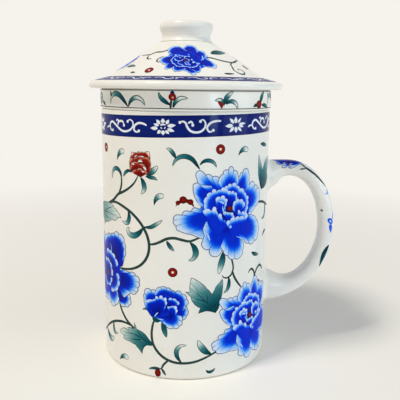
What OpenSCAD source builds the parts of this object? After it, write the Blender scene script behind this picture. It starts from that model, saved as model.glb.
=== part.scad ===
// Lidded tea mug with infuser. A straight-sided mug stands on a foot ring and has one
// ear-shaped handle. A perforated basket hangs in the mug from a tall collar that sits
// on the rim, and a conical lid with a round knob drops into the collar.
// Frame: millimetres, +Z up, origin at the centre of the foot ring on the table,
// the handle towards +X.

/* [Mug] */
// Outside diameter of the mug
mug_d = 80; // [72:1:92]
// Height of the mug from the table to its rim
mug_h = 120; // [110:1:140]
// Thickness of the mug's side wall
mug_wall = 3.6; // [3.2:0.1:4.4]
// Thickness of the floor over the foot recess
floor_t = 5; // [3.5:0.5:8]
// Radius of the inside corner between the wall and the floor
floor_fillet = 8; // [3:0.5:12]
// Width of the foot ring that stands on the table
foot_ring_w = 5; // [4:0.5:8]
// Depth of the recess inside the foot ring
foot_recess = 2; // [1:0.5:3]
// Radius that rounds the bottom edge of the mug
base_round = 1.6; // [0.8:0.1:2.5]
// Radius that rounds both edges of the rim
rim_round = 1.1; // [0.6:0.1:1.3]

/* [Handle] */
// How far the handle stands out from the mug's side
handle_reach = 34; // [30:0.2:40]
// Height of the handle's upper root, at its centre
handle_top_z = 87; // [82:0.5:92]
// Height at which the handle stands out furthest
handle_mid_z = 61.5; // [58:0.5:66]
// Height of the handle's lower root, at its centre
handle_low_z = 33; // [28:0.5:38]
// How far the upper limb is drawn up above its root before it turns down
handle_lift = 12.5; // [8:0.5:14]
// How far the lower limb sags below its root before it turns in
handle_sag = 7.5; // [4:0.5:10]
// Thickness of the handle, from its finger side to its outer side
handle_t = 7.4; // [6:0.2:9]
// Width of the handle, from its left side to its right side
handle_w = 11; // [8:0.5:14]
// Extra thickness of the upper root where it meets the mug
top_flare_t = 5.6; // [3:0.2:8]
// Length over which the upper root widens
top_root_l = 7.5; // [5:0.5:11]
// Extra thickness of the lower root where it meets the mug
low_flare_t = 7.4; // [4:0.2:9]
// Length over which the lower root widens
low_root_l = 14; // [8:0.5:17]
// Extra width of both roots where they meet the mug
root_flare_w = 4; // [2:0.5:7]

/* [Infuser] */
// Height of the collar that shows above the mug's rim
collar_h = 9; // [8:0.5:14]
// Thickness of the collar
collar_wall = 3.9; // [3.4:0.1:4.6]
// How far the collar stands proud of the mug's side
collar_proud = 0.3; // [0:0.1:1]
// Radius that rounds the collar's edges
collar_round = 1.2; // [0.6:0.1:1.4]
// Radial gap between the basket's neck and the mug
neck_gap = 0.8; // [0.4:0.1:1.5]
// Height of the neck that centres the basket in the mug
neck_h = 8; // [5:0.5:14]
// Depth of the basket below the mug's rim
basket_depth = 70; // [60:1:84]
// Thickness of the basket's side
basket_wall = 2.8; // [2.2:0.1:3.4]
// Thickness of the basket's floor
basket_floor_t = 3; // [2.4:0.1:4]
// How much smaller the basket's radius is at its floor than at its neck
basket_taper = 2.4; // [1:0.1:4]
// Radius of the basket's bottom corner
basket_corner = 9; // [6:0.5:12]

/* [Perforations] */
// Diameter of each strainer hole
hole_d = 3; // [2:0.2:4]
// Number of rows of holes round the side
side_rows = 3; // [1:1:4]
// Number of holes in each row
side_holes = 24; // [12:1:28]
// Height from one row of holes to the next
row_pitch = 7; // [5:0.5:8]
// Plain wall left between the rounded corner and the lowest row
row_margin = 3; // [2:0.5:6]
// Number of rings of holes in the floor
floor_rings = 3; // [1:1:3]
// Distance from one ring of holes to the next
ring_pitch = 6.8; // [5:0.2:7]

/* [Lid] */
// How far the brim stands out past the mug's side
brim_overhang = 5.5; // [4:0.5:9]
// Thickness of the brim's edge
brim_edge_t = 3.3; // [2.6:0.1:4]
// Width of the brim's gently sloping top
brim_w = 9.5; // [7:0.5:12]
// Rise of the brim's top from its edge to the foot of the cone
brim_rise = 2.4; // [1.5:0.1:4]
// Height of the cone between the brim and the knob's seat
cone_h = 16; // [10:0.5:22]
// Thickness of the lid
lid_wall = 3.2; // [2.6:0.1:4]
// Depth of the flange that drops into the collar
flange_h = 6; // [4:0.5:6.5]
// Thickness of the flange
flange_wall = 3; // [2.4:0.1:3.6]
// Radial gap between the flange and the collar
flange_gap = 0.8; // [0.4:0.1:1.5]

/* [Knob] */
// Diameter of the knob's disc
knob_d = 25; // [20:0.5:30]
// Height of the knob
knob_h = 8.8; // [7:0.2:12]
// Height of the knob's neck, under the disc
knob_neck_h = 3.6; // [2.6:0.2:5]
// How much narrower the neck's radius is than the disc's
knob_undercut = 0.9; // [0.5:0.1:2]
// Radius that rounds the knob's upper edge
knob_round = 1.4; // [0.8:0.1:2]
// Depth of the dish in the knob's top
knob_dish = 2.2; // [1:0.2:3]

/* [Hidden] */
$fn = 96;

porcelain = "ivory";
cut = 0.5; // how far a cutting tool runs past what it cuts

// Mug
mug_r = mug_d / 2;
mug_in_r = mug_r - mug_wall;
floor_z = foot_recess + floor_t;
foot_in_r = mug_r - base_round - foot_ring_w;
foot_draft = 0.8;                           // slope of the foot ring's inner side

// Infuser: the collar sits on the mug's rim
collar_r = mug_r + collar_proud;
collar_in_r = collar_r - collar_wall;
collar_top_z = mug_h + collar_h;
ledge_t = 1.2;                              // thickness of the ledge inside the collar, at the neck
ledge_slope = 0.6;                          // how fast the ledge climbs to the collar
ledge_z = mug_h + ledge_t;
neck_r = mug_in_r - neck_gap;
neck_in_r = neck_r - basket_wall;
basket_z = mug_h - basket_depth;
basket_r = neck_r - basket_taper;
basket_in_r = basket_r - basket_wall;
inner_corner = basket_corner - basket_wall; // keeps the wall even round the corner
first_row_z = basket_z + basket_corner + row_margin;

// Lid: its brim sits on the collar
brim_r = mug_r + brim_overhang;
edge_round = brim_edge_t * 0.45;
break_r = brim_r - brim_w;
break_z = collar_top_z + brim_edge_t + brim_rise;
knob_r = knob_d / 2;
seat_r = knob_r - knob_undercut;
seat_z = break_z + cone_h;
flange_r = collar_in_r - flange_gap;
flange_in_r = flange_r - flange_wall;
cone_angle = atan2(cone_h, break_r - seat_r);
lid_drop = lid_wall / cos(cone_angle);      // the lid's thickness measured straight down
flange_round = flange_wall * 0.4;
seat_shoulder = 0.6;                        // rounds the cone's top edge round the knob's seat
foot_sweep = 1.5;                           // how far the cone's foot sweeps out into the brim
sweep_fill = 0.8;                           // share of the cone's slope that the sweep keeps
flange_root = 1.6;                          // height of the slope between the flange and the hollow

// Handle: two cubic curves that meet where it stands out furthest
handle_t_half = handle_t / 2;
handle_x = mug_r + handle_reach - handle_t_half;
root_x = mug_r - mug_wall * 0.6;            // the curve starts inside the wall and is cut flush
handle_rings = 22;                          // rings along each curve
root_rings = 3;                             // rings that each curve runs on inside the wall
handle_sides = 20;                          // points round each ring
squareness = 2.5;                           // 2 is an ellipse, more is squarer
upper_pull = 14;                            // how far out the upper limb runs before it turns
lower_pull = 17.5;                          // the same for the lower limb
upper_turn = 25;                            // how slowly the upper limb turns into the upright
lower_turn = 16;                            // the same for the lower limb
upper_curve = [
    [root_x, handle_top_z], [mug_r + upper_pull, handle_top_z + handle_lift],
    [handle_x, handle_mid_z + upper_turn], [handle_x, handle_mid_z]
];
lower_curve = [
    [handle_x, handle_mid_z], [handle_x, handle_mid_z - lower_turn],
    [mug_r + lower_pull, handle_low_z - handle_sag], [root_x, handle_low_z]
];

// Points of a circular arc about c, from angle a0 to angle a1
function arc(c, r, a0, a1, steps = 8) =
    [for (i = [0:steps]) let (a = a0 + (a1 - a0) * i / steps) c + r * [cos(a), sin(a)]];

// A point of a cubic Bezier curve, and its direction there
function bezier(p, t) =
    pow(1 - t, 3) * p[0] + 3 * t * pow(1 - t, 2) * p[1] + 3 * t * t * (1 - t) * p[2] + pow(t, 3) * p[3];
function bezier_dir(p, t) =
    pow(1 - t, 2) * (p[1] - p[0]) + 2 * t * (1 - t) * (p[2] - p[1]) + t * t * (p[3] - p[2]);

// A sine or cosine raised to a power with its sign kept, for superellipses
function signed_pow(v, e) = sign(v) * pow(abs(v), e);

// One ring of the handle: a superellipse square to the curve, flared over root_l near the mug
function handle_ring(p, d, flare_t, root_l) =
    let (
        n = [-d[1], d[0]] / norm(d),
        flare = exp(-pow(max(p[0] - mug_r, 0) / root_l, 2) * 2),
        half_t = handle_t_half + flare * flare_t / 2,
        half_w = handle_w / 2 + flare * root_flare_w / 2
    )
    [for (k = [0:handle_sides - 1])
        let (
            a = 360 * k / handle_sides,
            u = half_t * signed_pow(cos(a), 2 / squareness),
            v = half_w * signed_pow(sin(a), 2 / squareness)
        )
        [p[0] + n[0] * u, v, p[1] + n[1] * u]];

// All the handle's points, ring after ring from the upper root to the lower one. Both curves run
// on inwards past their ends, so that no end of the stack shows outside the wall
function handle_points() = [
    for (i = [-root_rings:handle_rings]) let (t = i / handle_rings)
        each handle_ring(bezier(upper_curve, t), bezier_dir(upper_curve, t), top_flare_t, top_root_l),
    for (i = [1:handle_rings + root_rings]) let (t = i / handle_rings)
        each handle_ring(bezier(lower_curve, t), bezier_dir(lower_curve, t), low_flare_t, low_root_l)
];

// Triangles that close a stack of rings into a solid
function stack_faces(rings, sides) = [
    [for (k = [sides - 1:-1:0]) k],
    for (i = [0:rings - 2]) for (k = [0:sides - 1])
        let (a = i * sides + k, b = i * sides + (k + 1) % sides)
        each [[a, b, a + sides], [b, b + sides, a + sides]],
    [for (k = [0:sides - 1]) (rings - 1) * sides + k]
];

module mug_body() {
    color(porcelain) rotate_extrude() polygon(concat(
        [[0, floor_z]],
        arc([mug_in_r - floor_fillet, floor_z + floor_fillet], floor_fillet, -90, 0, 10),
        arc([mug_in_r + rim_round, mug_h - rim_round], rim_round, 180, 90, 5),
        arc([mug_r - rim_round, mug_h - rim_round], rim_round, 90, 0, 5),
        arc([mug_r - base_round, base_round], base_round, 0, -90, 6),
        [[foot_in_r, 0], [foot_in_r - foot_draft, foot_recess], [0, foot_recess]]
    ));
}

module mug_handle() {
    color(porcelain) difference() {
        polyhedron(handle_points(), stack_faces(2 * (handle_rings + root_rings) + 1, handle_sides));
        cylinder(r = mug_r, h = mug_h);
    }
}

// Outline of the infuser's section, from the basket's floor up to the collar and back inside
function infuser_profile() = concat(
    [[0, basket_z]],
    arc([basket_r - basket_corner, basket_z + basket_corner], basket_corner, -90, 0, 8),
    [[neck_r, mug_h - neck_h], [neck_r, mug_h]],
    arc([collar_r - collar_round, mug_h + collar_round], collar_round, -90, 0, 5),
    arc([collar_r - collar_round, collar_top_z - collar_round], collar_round, 0, 90, 5),
    arc([collar_in_r + collar_round, collar_top_z - collar_round], collar_round, 90, 180, 5),
    [[collar_in_r, ledge_z + ledge_slope * (collar_in_r - neck_in_r)], [neck_in_r, ledge_z]],
    [[neck_in_r, mug_h - neck_h]],
    arc([basket_in_r - inner_corner, basket_z + basket_floor_t + inner_corner], inner_corner, 0, -90, 8),
    [[0, basket_z + basket_floor_t]]
);

// One row of holes round the basket's side
module side_row(z, turn) {
    for (i = [0:side_holes - 1])
        rotate([0, 0, turn + 360 * i / side_holes])
            translate([basket_in_r - 2 * cut, 0, z])
                rotate([0, 90, 0])
                    cylinder(d = hole_d, h = neck_r - basket_in_r + 3 * cut, $fn = 24);
}

// One hole through the basket's floor, at distance r from its centre
module floor_hole(r, turn) {
    rotate([0, 0, turn]) translate([r, 0, basket_z - cut])
        cylinder(d = hole_d, h = basket_floor_t + 2 * cut, $fn = 24);
}

module infuser_basket() {
    color(porcelain) difference() {
        rotate_extrude() polygon(infuser_profile());
        for (row = [0:side_rows - 1])
            side_row(first_row_z + row * row_pitch, (row % 2) * 180 / side_holes);
        floor_hole(0, 0);
        for (ring = [1:floor_rings]) for (i = [0:6 * ring - 1])
            floor_hole(ring * ring_pitch, 60 * i / ring);
    }
}

// Outline of the lid's section: over the top, round the brim, down the flange and back inside
function lid_profile() = concat(
    [[0, seat_z], [seat_r + seat_shoulder, seat_z], [seat_r + 2.4 * seat_shoulder, seat_z - seat_shoulder]],
    [[break_r - foot_sweep, break_z + foot_sweep * tan(cone_angle) * sweep_fill], [break_r + 1, break_z - 0.1]],
    arc([brim_r - edge_round, collar_top_z + brim_edge_t - edge_round], edge_round, 75, 0, 5),
    arc([brim_r - edge_round, collar_top_z + edge_round], edge_round, 0, -90, 5),
    [[flange_r, collar_top_z]],
    arc([flange_r - flange_round, collar_top_z - flange_h + flange_round], flange_round, 0, -90, 4),
    arc([flange_in_r + flange_round, collar_top_z - flange_h + flange_round], flange_round, -90, -180, 4),
    [[flange_in_r, collar_top_z], [flange_in_r - 0.75 * flange_root, collar_top_z + flange_root]],
    [[seat_r, seat_z - lid_drop], [0, seat_z - lid_drop]]
);

module lid_shell() {
    color(porcelain) rotate_extrude() polygon(lid_profile());
}

module lid_knob() {
    waist = 0.4;      // how far the neck is drawn in at its middle
    swell = 0.9;      // height of each step from the neck out to the disc
    lip = 2;          // width of the disc's flat lip, and of the slope into the dish
    disc_z = seat_z + knob_neck_h;
    top_z = seat_z + knob_h;
    dish_r = knob_r - knob_round - lip;
    color(porcelain) rotate_extrude() polygon(concat(
        [[0, seat_z], [seat_r, seat_z], [seat_r - waist, seat_z + knob_neck_h / 2], [seat_r, disc_z]],
        [[knob_r - waist / 2, disc_z + swell], [knob_r, disc_z + 2 * swell]],
        arc([knob_r - knob_round, top_z - knob_round], knob_round, 0, 90, 6),
        [[dish_r, top_z], [dish_r - lip, top_z - knob_dish * 0.8], [0, top_z - knob_dish]]
    ));
}

mug_body();
mug_handle();
infuser_basket();
lid_shell();
lid_knob();
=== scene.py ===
"""Lidded tea mug with infuser: glazed porcelain painted with a blue peony scroll.

Sizes are in millimetres and become metres in the meshes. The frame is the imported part's own:
+Z up, the origin at the centre of the foot ring, the handle towards +X and the front to -Y.
"""

import logging
from dataclasses import dataclass, field, replace
from enum import Enum, auto
from typing import Callable

import bmesh
import bpy
import numpy as np
from mathutils import Matrix, Vector


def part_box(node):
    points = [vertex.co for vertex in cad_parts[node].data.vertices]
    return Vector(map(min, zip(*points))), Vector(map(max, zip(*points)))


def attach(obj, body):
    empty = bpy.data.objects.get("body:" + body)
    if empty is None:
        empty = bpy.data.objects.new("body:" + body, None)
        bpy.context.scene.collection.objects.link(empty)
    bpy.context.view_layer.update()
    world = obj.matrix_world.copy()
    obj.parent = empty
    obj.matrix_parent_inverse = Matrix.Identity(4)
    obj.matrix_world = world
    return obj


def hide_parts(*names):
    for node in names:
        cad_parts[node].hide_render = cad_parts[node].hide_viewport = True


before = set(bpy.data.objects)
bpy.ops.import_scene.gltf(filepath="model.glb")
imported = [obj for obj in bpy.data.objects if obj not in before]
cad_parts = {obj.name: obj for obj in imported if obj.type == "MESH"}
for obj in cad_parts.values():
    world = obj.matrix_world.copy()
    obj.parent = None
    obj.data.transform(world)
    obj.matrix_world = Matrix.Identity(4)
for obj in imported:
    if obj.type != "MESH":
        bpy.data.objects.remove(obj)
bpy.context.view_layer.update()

MM = 0.001
log = logging.getLogger("tea_mug")

Pair = tuple[float, float]
Line = tuple[tuple[float, ...], ...]
Strokes = tuple[tuple[Line, float], ...]     # lines with their widths
Socket = bpy.types.NodeSocket
UP = np.array([0, 0, 1.0])


# ---- curves in a plane

def radial(angle: np.ndarray) -> np.ndarray:
    """Unit vectors away from the axis, (sin a, -cos a, 0), so that angle 0 is the front."""
    return np.stack([np.sin(angle), -np.cos(angle), 0 * angle], axis=-1)


def arc(centre: Pair, radius: float, start: float, end: float, steps: int = 8) -> np.ndarray:
    """Points of a circular arc, (steps + 1, 2), from one angle in degrees to another."""
    angle = np.radians(np.linspace(start, end, steps + 1))
    return np.asarray(centre) + radius * np.stack([np.cos(angle), np.sin(angle)], axis=1)


def upright(radius: float, start: float, end: float, count: int) -> np.ndarray:
    """Evenly spaced points (r, z) of an upright line of a section, without its two ends."""
    z = np.linspace(start, end, count)[1:-1]
    return np.stack([radius + 0 * z, z], axis=1)


def running_length(points: np.ndarray) -> np.ndarray:
    """Length along a line of points, from 0 at the first."""
    return np.concatenate([[0], np.cumsum(np.linalg.norm(np.diff(points, axis=0), axis=1))])


def smooth_curve(points: Line, pitch: float = 0.45) -> np.ndarray:
    """Smooth line through a few points.

    Each span is a cubic Hermite curve. Its slope at a point is the mean of the two chords that
    meet there, each weighted by the other's length.

    Args:
        points: the points that the line passes through, as (x, y).
        pitch: distance between neighbouring points of the result.

    Returns:
        An array of (n, 2).
    """
    p = np.asarray(points, float)
    step = np.diff(p, axis=0)
    chord = np.linalg.norm(step, axis=1)
    slope = step / chord[:, None]
    weight = chord[:-1, None] + chord[1:, None]
    middle = (slope[:-1] * chord[1:, None] + slope[1:] * chord[:-1, None]) / weight
    if len(p) > 2:
        first, last = 1.5 * slope[0] - 0.5 * middle[0], 1.5 * slope[-1] - 0.5 * middle[-1]
    else:
        first, last = slope[0], slope[0]
    tangent = np.vstack([first, middle, last])
    along = running_length(p)
    t = np.linspace(0, along[-1], max(int(np.ceil(along[-1] / pitch)), 4) + 1)
    span = np.clip(np.searchsorted(along, t, side="right") - 1, 0, len(chord) - 1)
    size = chord[span][:, None]
    u = (t - along[span])[:, None] / size
    return (
        (2 * u**3 - 3 * u**2 + 1) * p[span] + (u**3 - 2 * u**2 + u) * size * tangent[span]
        + (3 * u**2 - 2 * u**3) * p[span + 1] + (u**3 - u**2) * size * tangent[span + 1]
    )


def scalloped_edge(base: Pair, cusps: Line, bulge: float, pitch: float = 0.4) -> np.ndarray:
    """Edge of a petal: half an ellipse between each pair of cusps, swelling away from the base.

    Args:
        base: the point that the petal grows from.
        cusps: the valleys between the scallops, as (x, y) or as (x, y, bulge of the lobe there).
        bulge: height of a lobe, as a share of the distance between its cusps.
        pitch: distance between neighbouring points of the result.

    Returns:
        An array of (n, 2).
    """
    lobes = []
    for here, there in zip(cusps[:-1], cusps[1:]):
        a, b = np.asarray(here[:2], float), np.asarray(there[:2], float)
        half = (b - a) / 2
        normal = np.array([-half[1], half[0]]) * 2
        if normal @ ((a + b) / 2 - np.asarray(base)) < 0:
            normal = -normal
        height = there[2] if len(there) > 2 else bulge
        count = max(int(np.ceil(2 * np.hypot(*half) * (1 + height) / pitch)), 4)
        t = np.linspace(0, np.pi, count + 1)[:, None]
        lobes.append((a + b) / 2 - half * np.cos(t) + normal * height * np.sin(t) ** 0.8)
    return np.vstack([lobes[0]] + [lobe[1:] for lobe in lobes[1:]])


# ---- meshes

@dataclass
class Mesh:
    """Vertices in millimetres and faces, with an optional painted shade and normals."""

    points: np.ndarray
    faces: list[tuple[int, ...]]
    shade: np.ndarray | None = None
    normals: np.ndarray | None = None

    def volume(self) -> float:
        """Signed volume, positive where the faces point outwards.

        Returns:
            The volume in cubic millimetres.
        """
        p = self.points
        fans = [(f[0], f[i], f[i + 1]) for f in self.faces for i in range(1, len(f) - 1)]
        a, b, c = (p[np.array(k)] for k in zip(*fans))
        return float(np.einsum("ij,ij->i", a, np.cross(b, c)).sum() / 6)

    def outward(self) -> "Mesh":
        """The same mesh with its faces turned outwards.

        Returns:
            This mesh.
        """
        if self.volume() < 0:
            self.faces = [f[::-1] for f in self.faces]
        return self


def grid_faces(rows: int, columns: int, closed: bool = False) -> np.ndarray:
    """Quads of a grid of vertices, row after row.

    Args:
        rows: number of rows.
        columns: number of vertices in a row.
        closed: whether each row's last vertex joins its first.

    Returns:
        An array of (n, 4) vertex numbers.
    """
    i = np.arange(rows - 1)[:, None] * columns
    j = np.arange(columns if closed else columns - 1)[None, :]
    k = (j + 1) % columns
    return np.stack([i + j, i + k, i + columns + k, i + columns + j], axis=-1).reshape(-1, 4)


def ring_strip(profile: np.ndarray, segments: int) -> Mesh:
    """Open band turned about Z: each profile point (r, z) goes round at (r sin a, -r cos a, z).

    Args:
        profile: an array of (n, 2).
        segments: number of vertices round the axis.

    Returns:
        The band, one ring of vertices for each point.
    """
    angle = 2 * np.pi * np.arange(segments) / segments
    body = profile[:, None, :1] * radial(angle) + profile[:, None, 1:] * UP
    return Mesh(body.reshape(-1, 3), grid_faces(len(profile), segments, closed=True).tolist())


def capped(rings: Mesh, segments: int, poles: list) -> Mesh:
    """Rings of vertices, closed at both ends by a fan of triangles to a pole.

    Args:
        rings: the rings and the quads between them.
        segments: number of vertices in a ring.
        poles: the middle of the first end and of the last.

    Returns:
        A closed mesh with its faces outwards.
    """
    count, first = len(rings.points), np.arange(segments)
    faces = list(rings.faces)
    for ring, pole in ((first[::-1], count), (first + count - segments, count + 1)):
        faces += np.stack([ring, np.roll(ring, -1), pole + 0 * ring], axis=1).tolist()
    return Mesh(np.vstack([rings.points, poles]), faces).outward()


def lathe(profile: np.ndarray, segments: int) -> Mesh:
    """Solid turned about Z, from the profile's first point on the axis to its last."""
    poles = [[0, 0, profile[0, 1]], [0, 0, profile[-1, 1]]]
    return capped(ring_strip(profile[1:-1], segments), segments, poles)


def joined(meshes: list[Mesh]) -> Mesh:
    """One mesh from several.

    Args:
        meshes: the meshes, all with shades and normals or all without.

    Returns:
        The mesh, its vertices in the order given.
    """
    starts = np.cumsum([0] + [len(m.points) for m in meshes])
    faces = [tuple(np.add(f, start)) for m, start in zip(meshes, starts) for f in m.faces]
    plain = meshes[0].shade is None
    shade = None if plain else np.concatenate([m.shade for m in meshes])
    normals = None if plain else np.vstack([m.normals for m in meshes])
    return Mesh(np.vstack([m.points for m in meshes]), faces, shade, normals)


# ---- finishes

def srgb(red: int, green: int, blue: int) -> tuple[float, float, float, float]:
    """A display colour as linear RGBA.

    Args:
        red, green, blue: the channels, 0 to 255.

    Returns:
        The four linear channels, 0 to 1.
    """
    c = np.array([red, green, blue]) / 255
    linear = np.where(c <= 0.04045, c / 12.92, ((c + 0.055) / 1.055) ** 2.4)
    return (*linear.tolist(), 1.0)


class Graph:
    """The nodes of a material or a world, with short calls that add and join them."""

    def __init__(self, owner: bpy.types.ID, kind: str = "Material") -> None:
        """Starts with an output node alone.

        Args:
            owner: the material or world.
            kind: Material or World, the kind of its output node.
        """
        owner.use_nodes = True
        self.owner = owner
        self.tree = owner.node_tree
        self.tree.nodes.clear()
        self.output = self.tree.nodes.new("ShaderNodeOutput" + kind)

    def add(self, kind: str, **settings: object) -> bpy.types.Node:
        """Adds a node.

        Args:
            kind: the node's type without its ShaderNode prefix.
            settings: values of its properties, or values and sockets for its inputs: i0 is the
                first input, and _ stands for a space in an input's name.

        Returns:
            The node.
        """
        node = self.tree.nodes.new("ShaderNode" + kind)
        for key, value in settings.items():
            if hasattr(node, key):
                setattr(node, key, value)
                continue
            socket = node.inputs[int(key[1:]) if key[1:].isdigit() else key.replace("_", " ")]
            if isinstance(value, Socket):
                self.tree.links.new(value, socket)
            else:
                socket.default_value = value
        return node

    def place(self) -> Socket:
        """Object coordinates, which are the frame's own metres."""
        return self.add("TexCoord").outputs["Object"]

    def noise(self, at: Socket, scale: float, detail: float, **settings: object) -> Socket:
        """A Noise texture's value."""
        return self.add("TexNoise", Vector=at, Scale=scale, Detail=detail, **settings).outputs["Fac"]

    def math(self, operation: str, *values: object) -> Socket:
        """A Math node's result from one to three values or sockets."""
        inputs = {f"i{number}": value for number, value in enumerate(values)}
        return self.add("Math", operation=operation, **inputs).outputs[0]

    def mix(self, kind: str, share: Socket, first: object, second: object) -> Socket:
        """A Mix node from a first value to a second.

        Args:
            kind: RGBA or FLOAT.
            share: the second value's share.
            first, second: sockets, colours or numbers.

        Returns:
            The mixed value.
        """
        a, b, out = (6, 7, 2) if kind == "RGBA" else (2, 3, 0)
        node = self.add("Mix", data_type=kind, i0=share, **{f"i{a}": first, f"i{b}": second})
        return node.outputs[out]

    def ramp(self, value: Socket, stops: list[tuple[float, tuple]]) -> Socket:
        """A colour that changes with a value.

        Args:
            value: the value, 0 to 1.
            stops: places from 0 to 1 and their colours.

        Returns:
            The colour.
        """
        node = self.add("ValToRGB", Fac=value)
        elements = node.color_ramp.elements
        while len(elements) < len(stops):
            elements.new(1.0)
        for element, (position, colour) in zip(elements, stops):
            element.position = position
            element.color = colour
        return node.outputs["Color"]

    def span(self, value: Socket, low: float, high: float) -> Socket:
        """A value from 0 to 1 spread over low to high."""
        return self.add("MapRange", Value=value, To_Min=low, To_Max=high).outputs["Result"]

    def seen(self) -> Socket:
        """1 for the rays that show the background: camera, glossy and transmission rays.

        Returns:
            The 1 or 0.
        """
        path = self.add("LightPath").outputs
        first = self.math("MAXIMUM", path["Is Camera Ray"], path["Is Glossy Ray"])
        return self.math("MAXIMUM", first, path["Is Transmission Ray"])

    def surface(self, shader: bpy.types.Node) -> bpy.types.ID:
        """Joins the shader to the output and returns the material or world."""
        self.tree.links.new(shader.outputs[0], self.output.inputs["Surface"])
        return self.owner

    def glazed(self, at: Socket, colour: Socket, rough: Socket, shine: float) -> bpy.types.ID:
        """A coloured surface under the clear glaze, bumped by slow waves and a finer orange peel.

        Args:
            at: object coordinates.
            colour: the colour.
            rough: the roughness.
            shine: the specular level.

        Returns:
            The material.
        """
        slow = self.add("Bump", Height=self.noise(at, 38.0, 1.0), Strength=0.22, Distance=0.0012)
        fine = self.add("Bump", Height=self.noise(at, 420.0, 2.0), Strength=0.10, Distance=0.0001,
                        Normal=slow.outputs["Normal"])
        return self.surface(self.add(
            "BsdfPrincipled", Base_Color=colour, Roughness=rough, Normal=fine.outputs["Normal"],
            IOR=1.45, Specular_IOR_Level=shine,
        ))


@dataclass(frozen=True)
class Glaze:
    """Clear glaze over white porcelain: a faint change of tone, pinholes and a slow ripple."""

    name: str = "porcelain_glaze"
    light: tuple = srgb(245, 243, 238)
    dark: tuple = srgb(239, 236, 228)
    speck: tuple = srgb(120, 104, 88)
    biscuit: tuple = srgb(226, 219, 204)
    bare_below: float = -1.0     # mm; the foot is unglazed under this height

    def material(self) -> bpy.types.Material:
        """Builds the node material: clouds of tone, rare dark pinholes, and the bare foot.

        Returns:
            The material.
        """
        g = Graph(bpy.data.materials.new(self.name))
        at = g.place()
        tone = g.ramp(g.noise(at, 22.0, 2.0), [(0.35, self.light), (0.72, self.dark)])
        cells = g.add("TexVoronoi", Vector=at, Scale=210.0).outputs
        near = g.math("LESS_THAN", cells["Distance"], 0.045)
        chosen = g.add("SeparateColor", Color=cells["Color"]).outputs["Red"]
        pin = g.math("MULTIPLY", near, g.math("GREATER_THAN", chosen, 0.965))
        colour = g.mix("RGBA", g.math("MULTIPLY", pin, 0.6), tone, self.speck)
        height = g.add("SeparateXYZ", Vector=at).outputs["Z"]
        ragged = g.math("MULTIPLY_ADD", g.noise(at, 180.0, 2.0), 0.0006, height)
        bare = g.math("LESS_THAN", ragged, self.bare_below * MM)
        skin = g.mix("RGBA", bare, colour, self.biscuit)
        gloss = g.span(g.noise(at, 60.0, 3.0), 0.16, 0.26)
        return g.glazed(at, skin, g.mix("FLOAT", bare, gloss, 0.75), 0.45)


@dataclass(frozen=True)
class Enamel:
    """Painted colour under the glaze, washed from dark to pale along the piece's own shade."""

    name: str
    stops: tuple[tuple[float, int, int, int], ...]   # shade, 0 pale to 1 full, and its colour
    mottle: float = 0.10                     # how far the wash wanders
    shine: float = 0.05                      # specular level; the glaze over a dark wash adds little
    rough: Pair = (0.20, 0.30)

    def material(self) -> bpy.types.Material:
        """Builds the node material: the piece's shade wanders a little and picks the colour.

        Returns:
            The material.
        """
        g = Graph(bpy.data.materials.new(self.name))
        at = g.place()
        shade = g.add("Attribute", attribute_name="shade").outputs["Fac"]
        wander = g.span(g.noise(at, 330.0, 3.0, Roughness=0.6), -self.mottle, self.mottle)
        stops = [(place, srgb(*colour)) for place, *colour in self.stops]
        colour = g.ramp(g.math("ADD", shade, wander), stops)
        return g.glazed(at, colour, g.span(g.noise(at, 90.0, 2.0), *self.rough), self.shine)


class Colour(Enum):
    """The painter's colours."""

    COBALT = auto()
    NAVY = auto()
    BORDER = auto()
    OUTLINE = auto()
    LEAF = auto()
    STEM = auto()
    RED = auto()
    RESERVE = auto()

    @property
    def slot(self) -> str:
        """The record's material slot."""
        slots = {Colour.LEAF: "leaf_enamel", Colour.STEM: "leaf_enamel", Colour.RED: "iron_red_enamel"}
        return slots.get(self, "cobalt_enamel")


NAVY_STOPS = ((0.00, 14, 100, 186), (0.45, 0, 38, 134), (1.00, 0, 16, 92))
ENAMELS = {
    Colour.COBALT: Enamel("cobalt_wash", (
        (0.00, 216, 230, 248), (0.14, 186, 214, 254), (0.30, 132, 186, 255), (0.42, 64, 146, 250),
        (0.54, 6, 92, 240), (0.68, 0, 54, 226), (0.84, 0, 32, 188), (1.00, 0, 14, 134),
    ), mottle=0.06),
    Colour.NAVY: Enamel("navy_wash", NAVY_STOPS, mottle=0.18, shine=0.10, rough=(0.08, 0.14)),
    Colour.BORDER: Enamel("border_wash", NAVY_STOPS, mottle=0.18, shine=0.03),
    Colour.OUTLINE: Enamel("slate_line", ((0.00, 128, 152, 190), (0.60, 50, 80, 136), (1.00, 14, 34, 96))),
    Colour.LEAF: Enamel("leaf_wash", (
        (0.00, 226, 234, 230), (0.22, 168, 196, 194), (0.48, 66, 132, 136), (0.75, 14, 88, 98),
        (1.00, 0, 46, 56),
    ), mottle=0.08),
    Colour.STEM: Enamel("stem_line", ((0.00, 120, 148, 140), (0.50, 52, 82, 76), (1.00, 16, 34, 36))),
    Colour.RED: Enamel("iron_red_wash", (
        (0.00, 240, 218, 206), (0.16, 206, 110, 84), (0.36, 158, 40, 24), (0.68, 128, 20, 12),
        (1.00, 66, 8, 8),
    ), mottle=0.07),
    Colour.RESERVE: Enamel("white_reserve", ((0.00, 242, 244, 248), (1.00, 206, 218, 240))),
}


# ---- painting on the porcelain

class Sheet:
    """A part of the surface that takes flat drawings, x to the right and y up, in millimetres."""

    def place(self, flat: np.ndarray, lift: float) -> tuple[np.ndarray, np.ndarray]:
        """Lays flat points on the surface.

        Args:
            flat: an array of (n, 2).
            lift: height above the glaze.

        Returns:
            The points and the surface's normals, each (n, 3).
        """
        raise NotImplementedError


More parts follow.
